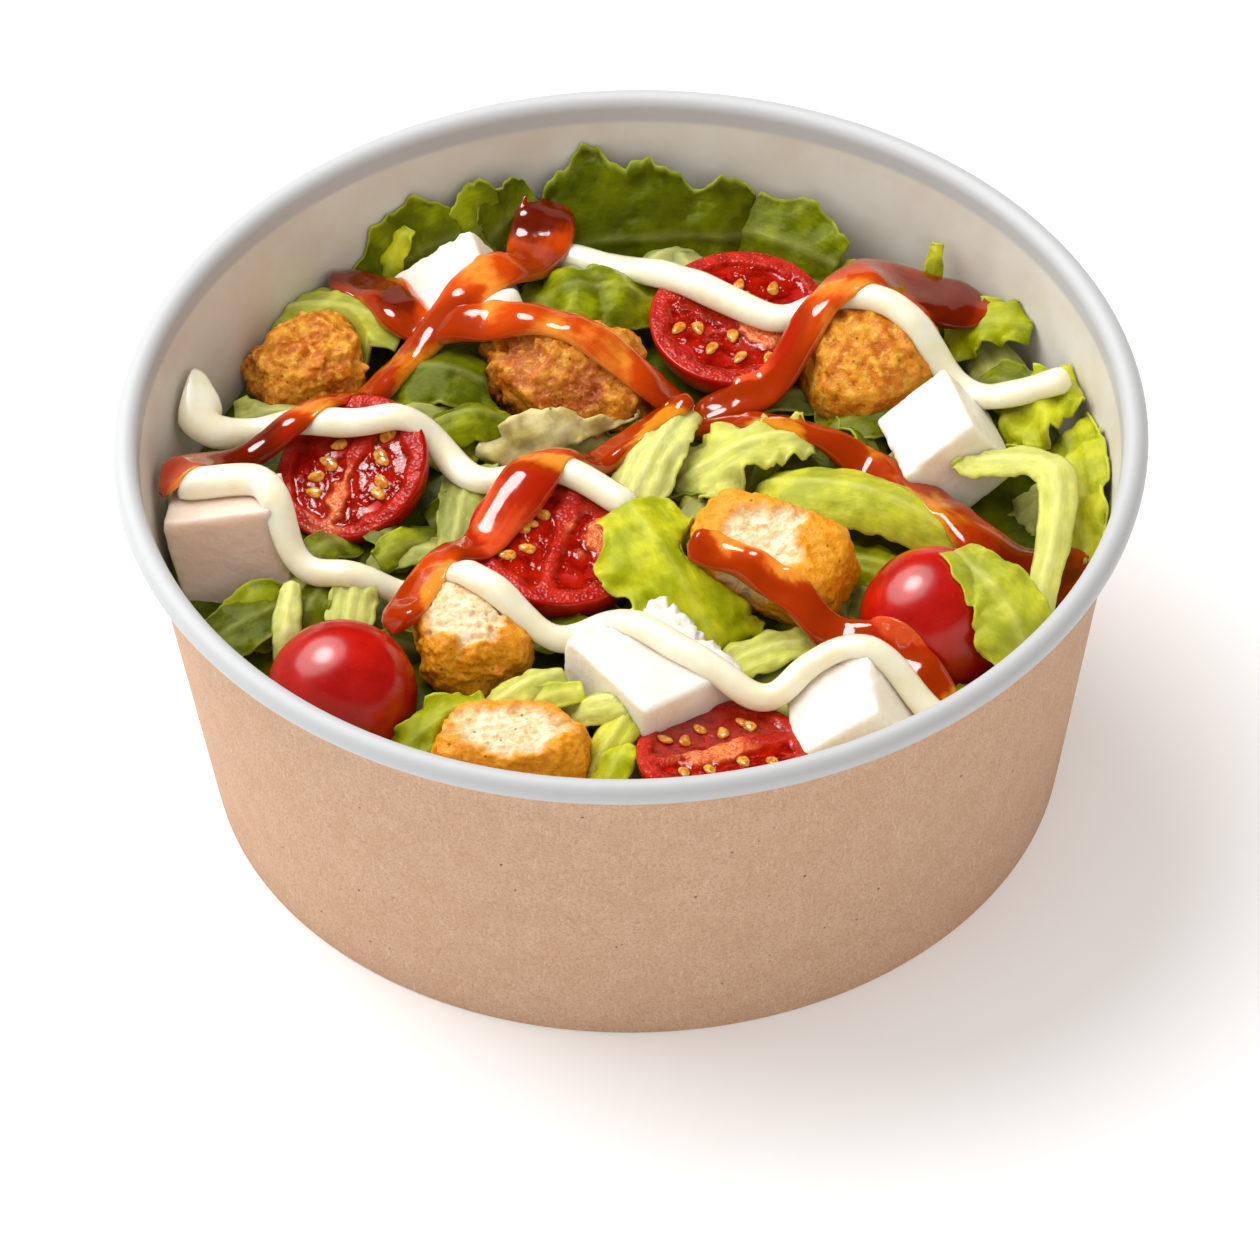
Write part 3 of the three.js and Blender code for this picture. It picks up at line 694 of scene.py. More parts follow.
def tomato_half(number, row):
    """A ball whose lower half is the dome and whose upper half is pressed into the cut face."""
    radius = row["radius"]
    place = face_place(row["at"], row["normal"])
    shape = bmesh.new()
    gel_layer, pale_layer = new_marks(shape, "gel", "pale")
    bmesh.ops.create_uvsphere(shape, u_segments=BALL_STEPS, v_segments=BALL_STEPS, radius=1)
    for vert in shape.verts:
        round_angle = atan2(vert.co.y, vert.co.x)
        from_pole = atan2(hypot(vert.co.x, vert.co.y), vert.co.z)
        if from_pole <= pi / 2 + 1e-4:
            out = min(from_pole / (pi / 2), 1)
            x, y = out * cos(round_angle), out * sin(round_angle)
            gel = gel_share(x, y, row)
            lump = fractal(Vector((x * radius, y * radius, row["seed"] * 9)), 3)
            height = FACE_CROWN * (1 - out ** 6) - gel * GEL_DEPTH + FACE_LUMPS * lump * (1 - out ** 4)
            edge = radius - 0.25 * blend_step(out, 0.96, 1)
            local = Vector((edge * x, edge * y, height))
            vert[gel_layer] = gel
            heart = 1 - blend_step(from_heart(x, y, row) + 0.1 * lump, 0.18, 0.46)
            vert[pale_layer] = heart * (1 - gel)
        else:
            out = sin(from_pole)
            uneven = 1 + UNEVEN * sin(2 * round_angle + row["seed"])
            local = Vector((radius * out * cos(round_angle) * uneven, radius * out * sin(round_angle),
                            HALF_DEPTH * radius * cos(from_pole)))
        vert.co = (place @ local) * MM
    inward = place.inverted()
    for face in shape.faces:
        local = inward @ (face.calc_center_median() / MM)
        cut = local.z > -0.3 and hypot(local.x, local.y) < radius * 0.975
        face.material_index = 1 if cut else 0
    tomato_seeds(shape, row, place)
    return finish_piece(f"tomato_half_{number}_dressed", shape, [tomato_skin, tomato_flesh, tomato_seed],
                        "tomato", f"tomato_half_{number}")


def whole_tomato(number, row):
    """A slightly uneven ball with the small dimple where its stem was."""
    shape = bmesh.new()
    bmesh.ops.create_uvsphere(shape, u_segments=BALL_STEPS, v_segments=WHOLE_RINGS, radius=1)
    stem = Vector(row["stem"]).normalized()
    for vert in shape.verts:
        way = vert.co.normalized()
        dimple = DIMPLE_DEPTH * exp(-((1 - way.dot(stem)) / DIMPLE_SPREAD))
        bulge = 1 + UNEVEN * fractal(way * row["radius"], 14, 2) - dimple
        vert.co = (Vector(row["at"]) + way * row["radius"] * bulge * LOOSE) * MM
    return finish_piece(f"tomato_whole_{number}_dressed", shape, [tomato_skin], "tomato",
                        f"tomato_whole_{number}")


halves = [tomato_half(number, row) for number, row in enumerate(TOMATO_HALVES, 1)]
wholes = [whole_tomato(number, row) for number, row in enumerate(WHOLE_TOMATOES, 1)]

# %% [markdown]
# ## Fried chicken
#
# A fried piece is pale meat in a bumpy golden crust. Some pieces were cut after frying and show
# the meat. The shape starts as a ball of triangles, is blown out to the rounded block that the
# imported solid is, gets lumps, crumbs and creases from noise in three sizes, and is pressed flat
# where it was cut. An attribute tells the finish where the meat is.

# %% Chicken finish
def chicken_finish():
    crust = Finish("chicken_crust", Specular_IOR_Level=0.32)
    crust.let_light_in(0.2, 1.8, 1, 0.4)
    meat, dark, bright = crust.own("meat"), crust.own("dark"), crust.own("bright")
    cloud, crumb, fine = crust.grain(4, 4), crust.grain(1.2, 4), crust.grain(0.4, 3)
    gold = crust.blend(crust.span(cloud, 0.38, 0.62), tint(200, 108, 12), tint(226, 150, 30))
    # Paler gold on the crumb's crests, and darker in its hollows, which is painted shade.
    gold = crust.blend(crust.span(crumb, 0.5, 0.68), gold, tint(238, 180, 62))
    gold = crust.blend(crust.span(crumb, 0.44, 0.3, 0, 0.75), gold, tint(168, 72, 8))
    # The dark mark is the crust's own browning together with painted shade on its lower side and in its
    # hollows.
    browning_and_shade = crust.times(dark, crust.span(fine, 0.3, 0.7, 0.6, 1.2))
    gold = crust.blend(browning_and_shade, gold, tint(140, 50, 6))
    yellowed = crust.times(bright, crust.span(fine, 0.3, 0.7, 0.4, 1.1))
    gold = crust.blend(yellowed, gold, tint(236, 158, 6))
    speck = crust.span(crust.cells(2.1), 0.08, 0.13, 1, 0)
    speck = crust.times(speck, crust.span(cloud, 0.45, 0.55))
    strand = crust.span(crust.grain(1.8, 4, warp=1.5), 0.35, 0.7)
    pale = crust.blend(strand, tint(228, 194, 138), tint(248, 231, 198))
    # The meat is darker in the crumb's hollows: painted shade.
    pale = crust.blend(crust.span(crumb, 0.47, 0.34, 0, 0.6), pale, tint(212, 156, 74))
    colour = crust.blend(meat, gold, pale)
    crust.colour(crust.blend(crust.times(speck, 0.7), colour, tint(74, 34, 14)))
    crust.set(crust.shader, Roughness=crust.span(crumb, 0.3, 0.7, 0.32, 0.5))
    crust.relief(crumb, 0.3)
    crust.relief(fine, 0.15)
    return crust


chicken_crust = chicken_finish()
print("nodes in the crust's finish:", len(chicken_crust.nodes))

# %% Chicken pieces
# In each look, dark scales the crust's browning and its painted shade.
CHICKEN_LOOKS = [
    dict(lump=1.4, crumb=0.32, crag=0.9, dark=0.2, chips=9, trim=((1, -0.2, 0.2), 0.8)),
    dict(lump=1.2, crumb=0.4, crag=1.1, dark=0.55, chips=9),
    dict(lump=0.5, crumb=0.18, crag=0.12, dark=0.15, chips=3, ridges=0.3),
    dict(lump=0.6, crumb=0.36, crag=0.35, dark=0.25, chips=2, bright=0.9, meat=(-0.5, -1.5), spread=(7, 7.5)),
    dict(lump=0.9, crumb=0.3, crag=0.6, dark=0.12, chips=5, bright=0.6, meat=(-1.2, 0.5), spread=(6.5, 7.5)),
    dict(lump=0.6, crumb=0.38, crag=0.3, dark=0.1, chips=2, bright=0.7, meat=(0, -0.5), spread=(9.5, 5.5)),
]
CHICKEN_FINENESS = 6
CRUST_SUNK = 0.35
MEAT_SUNK = 1.3
LOWEST_MEAT = -3
CHIP_FIRMNESS = 0.8


def chip_planes(points, look, seed):
    """Flat planes at seeded slants that each take a little off the side of a piece."""
    chance = Random(seed)
    cuts = [((chance.uniform(-1, 1), chance.uniform(-1, 1), chance.uniform(-0.3, 1)),
             chance.uniform(0.78, 0.92)) for _ in range(look["chips"])]
    if "trim" in look:
        cuts.append(look["trim"])
    planes = []
    for slant, share in cuts:
        normal = Vector(slant).normalized()
        planes.append((normal, share * max(point.dot(normal) for point in points)))
    return planes


def chipped(local, planes):
    """The point, drawn in to the planes that it stands out of."""
    for normal, reach in planes:
        local = local - normal * max(0, local.dot(normal) - reach) * CHIP_FIRMNESS
    return local


def crust_height(point, look):
    """How far the crust stands out at a point, in millimetres."""
    lump = look["lump"] * fractal(point, 6.5, 2)
    crumb = look["crumb"] * fractal(point + Vector((31, 7, 3)), 1.3, 4)
    craggy = 0.3 + blend_step(fractal(point + Vector((9, 3, 50)), 8, 2), -0.2, 0.3)
    crag = look["crag"] * craggy * (abs(fractal(point + Vector((5, 40, 9)), 4.5, 4)) * 2 - 0.6)
    return lump + crumb + crag


def meat_share(local, point, look):
    """How much of a spot is bare meat, from 0 to 1; the meat shows on the upper side."""
    if "meat" not in look or local.z < LOWEST_MEAT:
        return 0
    middle, spread = look["meat"], look["spread"]
    away = hypot((local.x - middle[0]) / spread[0], (local.y - middle[1]) / spread[1])
    return 1 - blend_step(away + 0.35 * fractal(point, 3.5, 3), 0.8, 1.0)


def block_point(way, half, square):
    """The point of a rounded block's surface in the direction way."""
    total = sum(abs(part) ** square for part in way)
    return way * half * total ** (-1 / square)


def chicken_piece(number, row, look):
    """A rounded block whose crust is chipped, creased and crumbed, with bare meat where it was cut."""
    place, half = block_place(row)
    shape = bmesh.new()
    meat_layer, browning_and_shade_layer, bright_layer = new_marks(shape, "meat", "dark", "bright")
    bmesh.ops.create_icosphere(shape, subdivisions=CHICKEN_FINENESS, radius=1)
    points = [block_point(vert.co, half, row["square"]) for vert in shape.verts]
    planes = chip_planes(points, look, number)
    for vert, point in zip(shape.verts, points):
        local = chipped(point, planes)
        point = place @ local
        meat = meat_share(local, point, look)
        height = crust_height(point, look) * (1 - 0.6 * meat) - CRUST_SUNK - MEAT_SUNK * meat
        if "ridges" in look:
            ridge = sin(local.x * 2.1 + 0.8 * fractal(point, 5)) * blend_step(local.z, 2, 6)
            height += look["ridges"] * ridge
        height += 0.3 * meat * fractal(Vector((point.x * 0.6, point.y * 2, point.z)), 2.2, 3)
        vert[meat_layer] = meat
        # Painted shade: the crust is darkened towards its lower side and where it sinks into hollows, on top
        # of each piece's own browning.
        low = blend_step(-local.z - 0.4 * local.y - 0.3 * local.x, -2, 7)
        vert[browning_and_shade_layer] = (1 - meat) * min(1, look["dark"] * (0.3 + low + 0.8 * max(0, -height)))
        vert[bright_layer] = look.get("bright", 0)
        vert.co = (place @ (local + vert.co.normalized() * height)) * MM
    return finish_piece(f"chicken_{number}_dressed", shape, [chicken_crust], "fried_chicken",
                        f"chicken_{number}")


chicken = [chicken_piece(number, row, look)
           for number, (row, look) in enumerate(zip(CHICKEN, CHICKEN_LOOKS), 1)]

# %% [markdown]
# ## Cheese cubes
#
# The cheese is soft, white and cut with a knife, so its faces are nearly flat, its edges a
# little round and some corners crumble. A cube is bevelled, divided and then worn by noise. Light
# goes a few millimetres into it, which is what makes it look like cheese and not like plaster.

# %% Cheese
def cheese_finish():
    cheese = Finish("white_cheese", Roughness=0.42, Specular_IOR_Level=0.45)
    cheese.let_light_in(0.5, 5, 3.2, 2)
    cloud, curd = cheese.grain(6, 3), cheese.grain(0.9, 3)
    white = cheese.blend(cheese.span(cloud, 0.3, 0.7), tint(236, 228, 212), tint(246, 241, 229))
    # A warm tint over whole cubes, most on the second: painted warm shade, for the light that the brown paper
    # and the tomatoes throw back on them.
    white = cheese.blend(cheese.own("rosy"), white, tint(230, 198, 178))
    # Darker cream in the curd's pits: painted shade.
    cheese.colour(cheese.blend(cheese.span(curd, 0.42, 0.3, 0, 0.3), white, tint(222, 204, 176)))
    cheese.relief(curd, 0.14)
    cheese.relief(cheese.grain(3, 2), 0.25)
    return cheese


white_cheese = cheese_finish()
# The last number of each look is how strongly the painted warm shade tints the whole cube.
CHEESE_LOOKS = [
    dict(crumble=0.3, corner=(1, 1, 1), rosy=0.15),
    dict(crumble=0.2, corner=(1, 1, 1), rosy=0.75),
    dict(crumble=0.25, corner=(-1, -1, 1), rosy=0.05),
    dict(crumble=2.2, corner=(1, 1, 1), rosy=0.1),
    dict(crumble=0.3, corner=(1, 1, 1), rosy=0.1),
]
CHEESE_EDGE = 0.6
CHEESE_CUTS = 23


def rounded_corner(local, half):
    """The point of a block's surface, drawn in so that edges and corners are round."""
    core = Vector([max(CHEESE_EDGE - side, min(side - CHEESE_EDGE, part)) for part, side in zip(local, half)])
    out = local - core
    return core + out.normalized() * CHEESE_EDGE if out.length > CHEESE_EDGE else local


def cheese_cube(number, row, look):
    """A cut cube with worn edges, and with one corner that crumbles most."""
    place, half = block_place(row)
    shape = bmesh.new()
    rosy, = new_marks(shape, "rosy")
    bmesh.ops.create_cube(shape, size=2)
    bmesh.ops.scale(shape, vec=half, verts=shape.verts)
    bmesh.ops.subdivide_edges(shape, edges=shape.edges, cuts=CHEESE_CUTS, use_grid_fill=True)
    for vert in shape.verts:
        share = Vector([part / side for part, side in zip(vert.co, half)])
        local = rounded_corner(vert.co.copy(), half)
        point = place @ local
        edge = sum(blend_step(abs(part), 0.8, 1) for part in share)
        near = blend_step(share.dot(look["corner"]), 0.6, 2.4)
        bite = max(0, fractal(point, 2.0, 4) + 0.15)
        wear = (0.25 * max(0, edge - 1) + look["crumble"] * near * edge) * bite
        local = local * (1 + 0.014 * fractal(point, 9, 2)) - local.normalized() * wear
        vert[rosy] = look["rosy"]
        vert.co = (place @ (local * LOOSE)) * MM
    return finish_piece(f"cheese_{number}_dressed", shape, [white_cheese], "white_cheese", f"cheese_{number}")


cheese = [cheese_cube(number, row, look)
          for number, (row, look) in enumerate(zip(CHEESE, CHEESE_LOOKS), 1)]

# %% [markdown]
# ## Lettuce
#
# The salad stands on chopped lettuce: frilly dark blades at the back, smooth lime ones in the
# middle, and pale ribs and curls between the toppings. A blade starts as a flat grid. Its spine
# is a curve that rises out of the heap, and across the spine the grid is bent, frilled at the
# edges and ribbed. A leaf that would run through a topping is pushed out round it, and one that
# would leave the bowl is pressed to the wall, as real leaves are.

# %% Lettuce finish
def lettuce_finish():
    leaf = Finish("lettuce_leaf", Roughness=0.28, Specular_IOR_Level=0.24, Specular_Tint=(0.9, 1, 0.4, 1))
    leaf.let_light_in(0.35, 1.8, 1.8, 0.2)
    green, pale, vein, edge = (leaf.own(name) for name in ("green", "pale", "vein", "edge"))
    along = leaf.times(leaf.own("along"), 0.25)
    lengthwise = leaf.add("ShaderNodeCombineXYZ", X=along, Y=leaf.own("across")).outputs["Vector"]
    cloud, fine, fibre = leaf.grain(5, 4), leaf.grain(1.1, 4), leaf.grain(0.55, 3, lengthwise)
    depth = leaf.sum(green, leaf.span(cloud, 0.3, 0.7, -0.14, 0.14))
    depth = leaf.sum(depth, leaf.span(fibre, 0.35, 0.65, -0.02, 0.02))
    colour = leaf.blend(leaf.span(depth, 0.0, 0.4), tint(46, 56, 0), tint(92, 100, 1))
    colour = leaf.blend(leaf.span(depth, 0.35, 0.7), colour, tint(150, 156, 8))
    colour = leaf.blend(leaf.span(depth, 0.65, 1.05), colour, tint(204, 202, 34))
    rib = leaf.blend(leaf.span(fibre, 0.2, 0.8), tint(222, 220, 116), tint(236, 234, 166))
    white = leaf.span(leaf.sum(pale, leaf.times(vein, 0.35)), 0.05, 1.25)
    colour = leaf.blend(white, colour, rib)
    colour = leaf.blend(leaf.span(edge, 0.88, 1.0, 0, 0.4), colour, tint(198, 206, 76))
    wilted = leaf.blend(leaf.span(cloud, 0.35, 0.65), tint(160, 122, 66), tint(222, 202, 150))
    leaf.colour(leaf.blend(leaf.own("beige"), colour, wilted))
    leaf.relief(fibre, 0.06)
    leaf.relief(fine, 0.12)
    return leaf


lettuce = lettuce_finish()
print("nodes in the leaf's finish:", len(lettuce.nodes))

# %% Lettuce leaves that show
PLAIN_LEAF = dict(arch=1, lean=0, frill=0.6, lobe=0, curl=16, folds=(0, 6), ribs=(0, 4), green=0.6, pale=0.05,
                  ragged=0.05, foot=37.5, via=None, over=False, beige=0)
LEAVES = [
    dict(root=(-35, 54, 43), tip=(-31.5, 58, 49), width=4, green=0.8, ragged=0.12),
    dict(root=(-36, 55, 42), tip=(-24, 60, 46), width=14, lean=60, green=0.4, lobe=0.2, ragged=0.12),
    dict(root=(-26, 59, 43), tip=(-17, 62, 47), width=11, lean=62, green=0.5, lobe=0.26, ragged=0.14),
    dict(root=(-20, 60, 44), tip=(-13, 64, 49), width=9, lean=58, green=0.25, lobe=0.2, ragged=0.14),
    dict(root=(-9, 61, 42), tip=(19, 60, 44), width=20, lean=60, frill=1.2, green=0.28, lobe=0.2,
         ragged=0.13, folds=(0.6, 8)),
    dict(root=(17, 61, 44), tip=(31, 52, 45), width=13, lean=42, frill=1, green=0.4, lobe=0.12, ragged=0.1),
    dict(root=(-15, 46, 44.5), tip=(5, 45, 45.5), width=16, arch=3.5, curl=45, green=0.5, pale=0.05,
         folds=(0.6, 7), ribs=(0.15, 3)),
    dict(root=(-51, 47.5, 43), tip=(-32.5, 40, 45), width=12.5, arch=3, curl=35, green=0.74, pale=0.35,
         ribs=(0.2, 4)),
    dict(root=(-35, 34, 43), tip=(-17.5, 27, 44), width=14, arch=3, curl=34, green=0.33, frill=0.4,
         ribs=(0.1, 3)),
    dict(root=(-31, 21, 42.5), tip=(-14.5, 20, 43.5), width=10, arch=4, curl=70, green=0.48, frill=0.3,
         ribs=(0.2, 4)),
    dict(root=(-23, 12.5, 43.5), tip=(-26, -5.5, 42.5), width=8, arch=2, lean=10, green=0.4, pale=0.4,
         ribs=(0.25, 4)),
    dict(root=(-18.5, 15.5, 43.5), tip=(1, 21.5, 47), width=7.5, arch=1.5, lean=42, frill=1.3, green=0.5,
         pale=1, beige=0.75, folds=(0.8, 5)),
    dict(root=(-1, 2, 43.5), tip=(8, 20, 47.5), width=10, arch=2, curl=35, green=0.75, pale=0.75,
         ribs=(0.35, 4)),
    dict(root=(8, 9, 43.5), tip=(26, 14.5, 47), width=12, arch=2.5, frill=2, lobe=0.12, green=0.84,
         pale=0.55, ribs=(0.3, 4)),
    dict(root=(20, 6, 45), tip=(49.5, -7, 44), width=14, arch=4.5, curl=55, frill=0.2, green=0.82, pale=0.24,
         ribs=(0.1, 5), ragged=0.02),
    dict(root=(14.5, -29.5, 43), tip=(26, -26, 43.5), width=8, green=0.8, pale=0.5, ribs=(0.25, 3)),
    dict(root=(47.5, 39, 43), tip=(59, 35, 47.5), width=8.5, arch=2, lean=20, frill=1.5, lobe=0.12,
         green=0.68),
    dict(root=(51, 28, 43), tip=(59.5, 23, 45), width=8, arch=2, lean=10, green=0.45),
    dict(root=(54.5, 19.5, 43), tip=(66, 20.5, 48.5), width=13, arch=2.5, frill=2, lobe=0.14, green=0.8,
         pale=0.1, folds=(0.7, 5)),
    dict(root=(63.5, 14, 45), tip=(65.5, -14, 46), width=12, arch=2, lean=40, green=0.8, pale=0.12,
         ribs=(0.3, 4), folds=(0.6, 9)),
    dict(root=(44.5, 46.5, 44), tip=(45.5, 50, 51), width=2.6, green=0.8),
    dict(root=(-33.5, -46, 43), tip=(-21.5, -41, 47), width=8, arch=2, lean=15, frill=1.2, green=0.68,
         lobe=0.1),
    dict(root=(-22, -42, 45), tip=(-10.5, -36, 48), width=8, arch=2, curl=55, green=0.78, pale=0.5,
         ribs=(0.2, 3)),
    dict(root=(-20, -42.5, 45), tip=(-7.5, -40, 48), width=5, lean=20, green=0.86, pale=0.35),
    dict(root=(-9.5, -41, 45), tip=(1.5, -44.5, 49), width=9, arch=2, curl=80, green=0.8, pale=0.6,
         ribs=(0.25, 4)),
    dict(root=(-7, -53.5, 43), tip=(3.5, -38.5, 49), width=6.5, arch=2, curl=40, green=0.86, pale=0.3,
         ribs=(0.25, 3)),
    dict(root=(-5.5, -57, 43), tip=(-1, -50, 46.5), width=5.5, green=0.86),
    dict(root=(-61.5, -21.5, 41), tip=(-50.5, -15, 43), width=10, green=0.28, frill=0.5),
    dict(root=(-50.5, -23, 43), tip=(-49.5, -13.5, 45.5), width=5, curl=60, green=0.7, pale=0.75,
         ribs=(0.2, 3)),
    dict(root=(-48, -18, 42), tip=(-44, -10.5, 43.5), width=6, green=0.32),
    dict(root=(-41.5, -20, 42.5), tip=(-39.5, -10.5, 45.5), width=7.5, curl=25, green=0.6, pale=0.6,
         ribs=(0.35, 4)),
    dict(root=(50, -36, 42), tip=(42, -50, 44), width=9, green=0.7),
    dict(root=(-28, -58, 43), tip=(-36, -50, 44), width=8, green=0.6),
    dict(root=(24, -5, 42), tip=(43, -13, 43), width=10, green=0.6, curl=40, ribs=(0.2, 4)),
    dict(root=(10, -1, 43), tip=(5, -8, 44), width=8, green=0.35),
    dict(root=(30, 50, 43), tip=(40, 48, 45), width=7, lean=20, green=0.6, lobe=0.1),
    dict(root=(-37, -3, 41), tip=(-26, -4, 42), width=7, green=0.4, pale=0.4),
    dict(root=(-33, 52, 41), tip=(-46, 46, 43), width=9, green=0.25),
    dict(root=(-14, -21, 42.5), tip=(-3, -27, 44), width=9, green=0.4),
    dict(root=(30, 20, 43), tip=(44, 22, 44), width=9, green=0.35),
    dict(root=(-16, -64, 41), tip=(-2, -62, 43), width=10, green=0.5, curl=30),
    dict(root=(-2, -66, 41), tip=(10, -66.5, 43), width=8, green=0.7, pale=0.3, frill=1.2),
    dict(root=(-30, -60, 41), tip=(-20, -60, 43), width=9, green=0.6, lobe=0.1),
    dict(root=(22, -62, 41), tip=(33, -57, 43), width=9, green=0.55, curl=30),
    dict(root=(-56, -32, 41), tip=(-48, -45, 43), width=9, green=0.6, frill=1.2),
    dict(root=(-46, -50, 41), tip=(-36, -56, 43), width=8, green=0.4),
]
TOP_LEAVES = [
    dict(root=(11, -25, 43.5), tip=(-0.5, -3.5, 50.5), width=21, arch=2.5, curl=24, frill=1, green=0.8,
         ribs=(0.08, 4), lobe=0.14, over=True),
    dict(root=(50, 5, 49.5), via=(61.5, -2, 53), tip=(58, -29, 48), width=6.5, foot=48, frill=0.3, curl=30,
         green=0.82, pale=0.6, ribs=(0.15, 3), over=True),
    dict(root=(56.5, -34, 47.5), via=(52.5, -27, 53), tip=(46.5, -19, 53.8), width=11, lean=-12, frill=0.8,
         curl=26, lobe=0.1, green=0.74, pale=0.25, ribs=(0.1, 4), over=True),
]
CORE_TOP = 40
LEAF_ROOT_RUN = 2
LEAF_THICKNESS = 0.36
LEAF_GRAIN = 0.5
SCRAP_GRAIN = 0.9
SCRAPS = 90
SCRAP_REACH = 63
GOLDEN_ANGLE = 2.39996
WALL_CLEARANCE = 0.5
TOPPING_CLEARANCE = 0.3
FOOD_CEILING = 56.2
LEAF_MARKS = ("green", "pale", "vein", "edge", "along", "across", "beige")


def clear_of_toppings(point):
    """The point, pushed out of any topping that it lies in."""
    for body in bodies:
        local = body["inverse"] @ point
        if body["flat"] and local.z > 0:
            continue
        half = [side + TOPPING_CLEARANCE for side in body["half"]]
        if any(abs(local[axis]) > half[axis] for axis in range(3)):
            continue
        fullness = sum(abs(local[axis] / half[axis]) ** body["square"] for axis in range(3))
        if 1e-4 < fullness < 1:
            point = body["place"] @ (local * fullness ** (-1 / body["square"]))
    return point


def under_toppings(point):
    """The point, drawn down into any topping that it lies on."""
    for body in bodies:
        local = body["inverse"] @ point
        half = body["half"]
        if (abs(local.x / half[0]) ** body["square"] + abs(local.y / half[1]) ** body["square"]) < 0.9:
            if local.z > -0.3 * half[2]:
                local.z = -0.3 * half[2]
                point = body["place"] @ local
    return point


def inside_bowl(point):
    """The point, pressed back to the wall where it would pass through it."""
    room = inner_wall(point.z) - WALL_CLEARANCE
    reach = hypot(point.x, point.y)
    if reach > room:
        point.x *= room / reach
        point.y *= room / reach
    point.z = min(point.z, FOOD_CEILING)
    return point


def with_ends(points):
    """The points, with one more at each end, in line with the last two."""
    return [points[0] * 2 - points[1]] + points + [points[-1] * 2 - points[-2]]


def on_curve(before, start, end, after, share):
    """The point at a share of the smooth curve from start to end."""
    square, cube = share * share, share ** 3
    return (start * (2 * cube - 3 * square + 1) + (end - before) / 2 * (cube - 2 * square + share)
            + end * (3 * square - 2 * cube) + (after - start) / 2 * (cube - square))


def along_curve(points, share):
    """The point at a share of a smooth curve through the points, and the way it runs there."""
    part = min(int(share * (len(points) - 1)), len(points) - 2)
    local = share * (len(points) - 1) - part
    square = local * local
    before, start, end, after = with_ends(points)[part:part + 4]
    way = (start * (6 * square - 6 * local) + (end - before) / 2 * (3 * square - 4 * local + 1)
           + end * (6 * local - 6 * square) + (after - start) / 2 * (3 * square - 2 * local))
    return on_curve(before, start, end, after, local), way.normalized()


def leaf_spine(leaf):
    """The points that a leaf's middle line passes: its foot, root, middle and tip."""
    start, tip = Vector(leaf["root"]), Vector(leaf["tip"])
    heading = (tip - start) * Vector((1, 1, 0))
    foot = start - heading.normalized() * LEAF_ROOT_RUN
    foot.z = leaf["foot"]
    middle = Vector(leaf["via"]) if leaf["via"] else (start + tip) / 2 + Vector((0, 0, leaf["arch"]))
    return [foot, start, middle, tip]


def leaf_outline(leaf, share, run, side, number):
    """Half the leaf's width at a share of its length: rounded, ragged and lobed."""
    rag = leaf["ragged"] * fractal(Vector((run, 9 * number, 20 * side)), 2.2, 4)
    lobe = leaf["lobe"] * fractal(Vector((run, 5 * number, 30 * side)), 5.5, 2)
    return 0.5 * leaf["width"] * (0.4 + 0.6 * sin(pi * (0.1 + 0.8 * share))) * (1 + 2 * rag + 2.4 * lobe)


def leaf_relief(leaf, run, aside, half, number):
    """How far the leaf stands out of its bent sheet, and how strong a vein is there."""
    ripple = fractal(Vector((run, aside * half, 7 * number)), 3.4, 3)
    wave = sin(run * 1.1 + 2.2 * ripple + 1.7 * number + (0.9 if aside > 0 else -0.9))
    fold_high, fold_long = leaf["folds"]
    fold = fold_high * sin(2 * pi * run / fold_long + 0.8 * aside + number + ripple)
    rib_high, rib_apart = leaf["ribs"]
    rib = cos(2 * pi * aside * half / (leaf["width"] / rib_apart) + 1.6 * ripple)
    vein_run = (run - abs(aside) * half * 0.8 + 0.8 * ripple) / 3.1
    vein = max(0, cos(2 * pi * vein_run)) ** 4 * blend_step(abs(aside), 0.05, 0.25)
    vein *= 1 - 0.7 * abs(aside)
    midrib = exp(-(aside * half / 0.8) ** 2)
    lift = leaf["frill"] * (0.7 * wave + 0.7 * ripple) * abs(aside) ** 2.5
    lift += fold * (1 - 0.3 * aside * aside) + 0.5 * rib_high * rib
    lift += 0.25 * midrib + 0.1 * vein + 0.3 * ripple
    return lift, max(0.7 * midrib, 0.45 * vein, 0.9 * rib_high * max(0, rib)), ripple


def grow_leaf(shape, row, number, grain):
    """Adds one blade to the shape: a grid bent along its spine."""
    leaf = {**PLAIN_LEAF, **row}
    spine = leaf_spine(leaf)
    length = sum((after - before).length for before, after in zip(spine, spine[1:]))
    marks = [shape.verts.layers.float[name] for name in LEAF_MARKS]
    made = bmesh.ops.create_grid(shape, x_segments=max(6, round(length / grain)),
                                 y_segments=max(6, round(leaf["width"] / grain)), size=1)
    curl = radians(leaf["curl"])
    for vert in made["verts"]:
        share, aside = (vert.co.x + 1) / 2, vert.co.y
        point, ahead = along_curve(spine, share)
        side = Vector((0, 0, 1)).cross(ahead).normalized()
        side.rotate(Matrix.Rotation(radians(leaf["lean"]), 3, ahead))
        out = ahead.cross(side)
        run = share * length
        half = leaf_outline(leaf, share, run, 1 if aside > 0 else -1, number)
        lift, vein, ripple = leaf_relief(leaf, run, aside, half, number)
        bend = aside * curl
        point = point + side * (half * sin(bend) / curl) + out * (lift - half * (1 - cos(bend)) / curl)
        point = clear_of_toppings(point) if leaf["over"] else under_toppings(point)
        vert.co = inside_bowl(point) * MM
        values = (leaf["green"] + 0.06 * ripple, leaf["pale"], vein, abs(aside),
                  (run + 50 * number) * MM, aside * half * MM, leaf["beige"])
        for mark, value in zip(marks, values):
            vert[mark] = value


def leaf_piece(name, rows, grain):
    """All the leaves of one kind as one thin closed piece."""
    shape = bmesh.new()
    new_marks(shape, *LEAF_MARKS)
    for number, row in enumerate(rows):
        grow_leaf(shape, row, number, grain)
    piece = finish_piece(name, shape, [lettuce], "lettuce", "lettuce_heap")
    shell = piece.modifiers.new("thickness", "SOLIDIFY")
    shell.thickness = LEAF_THICKNESS * MM
    shell.offset = 0
    return piece


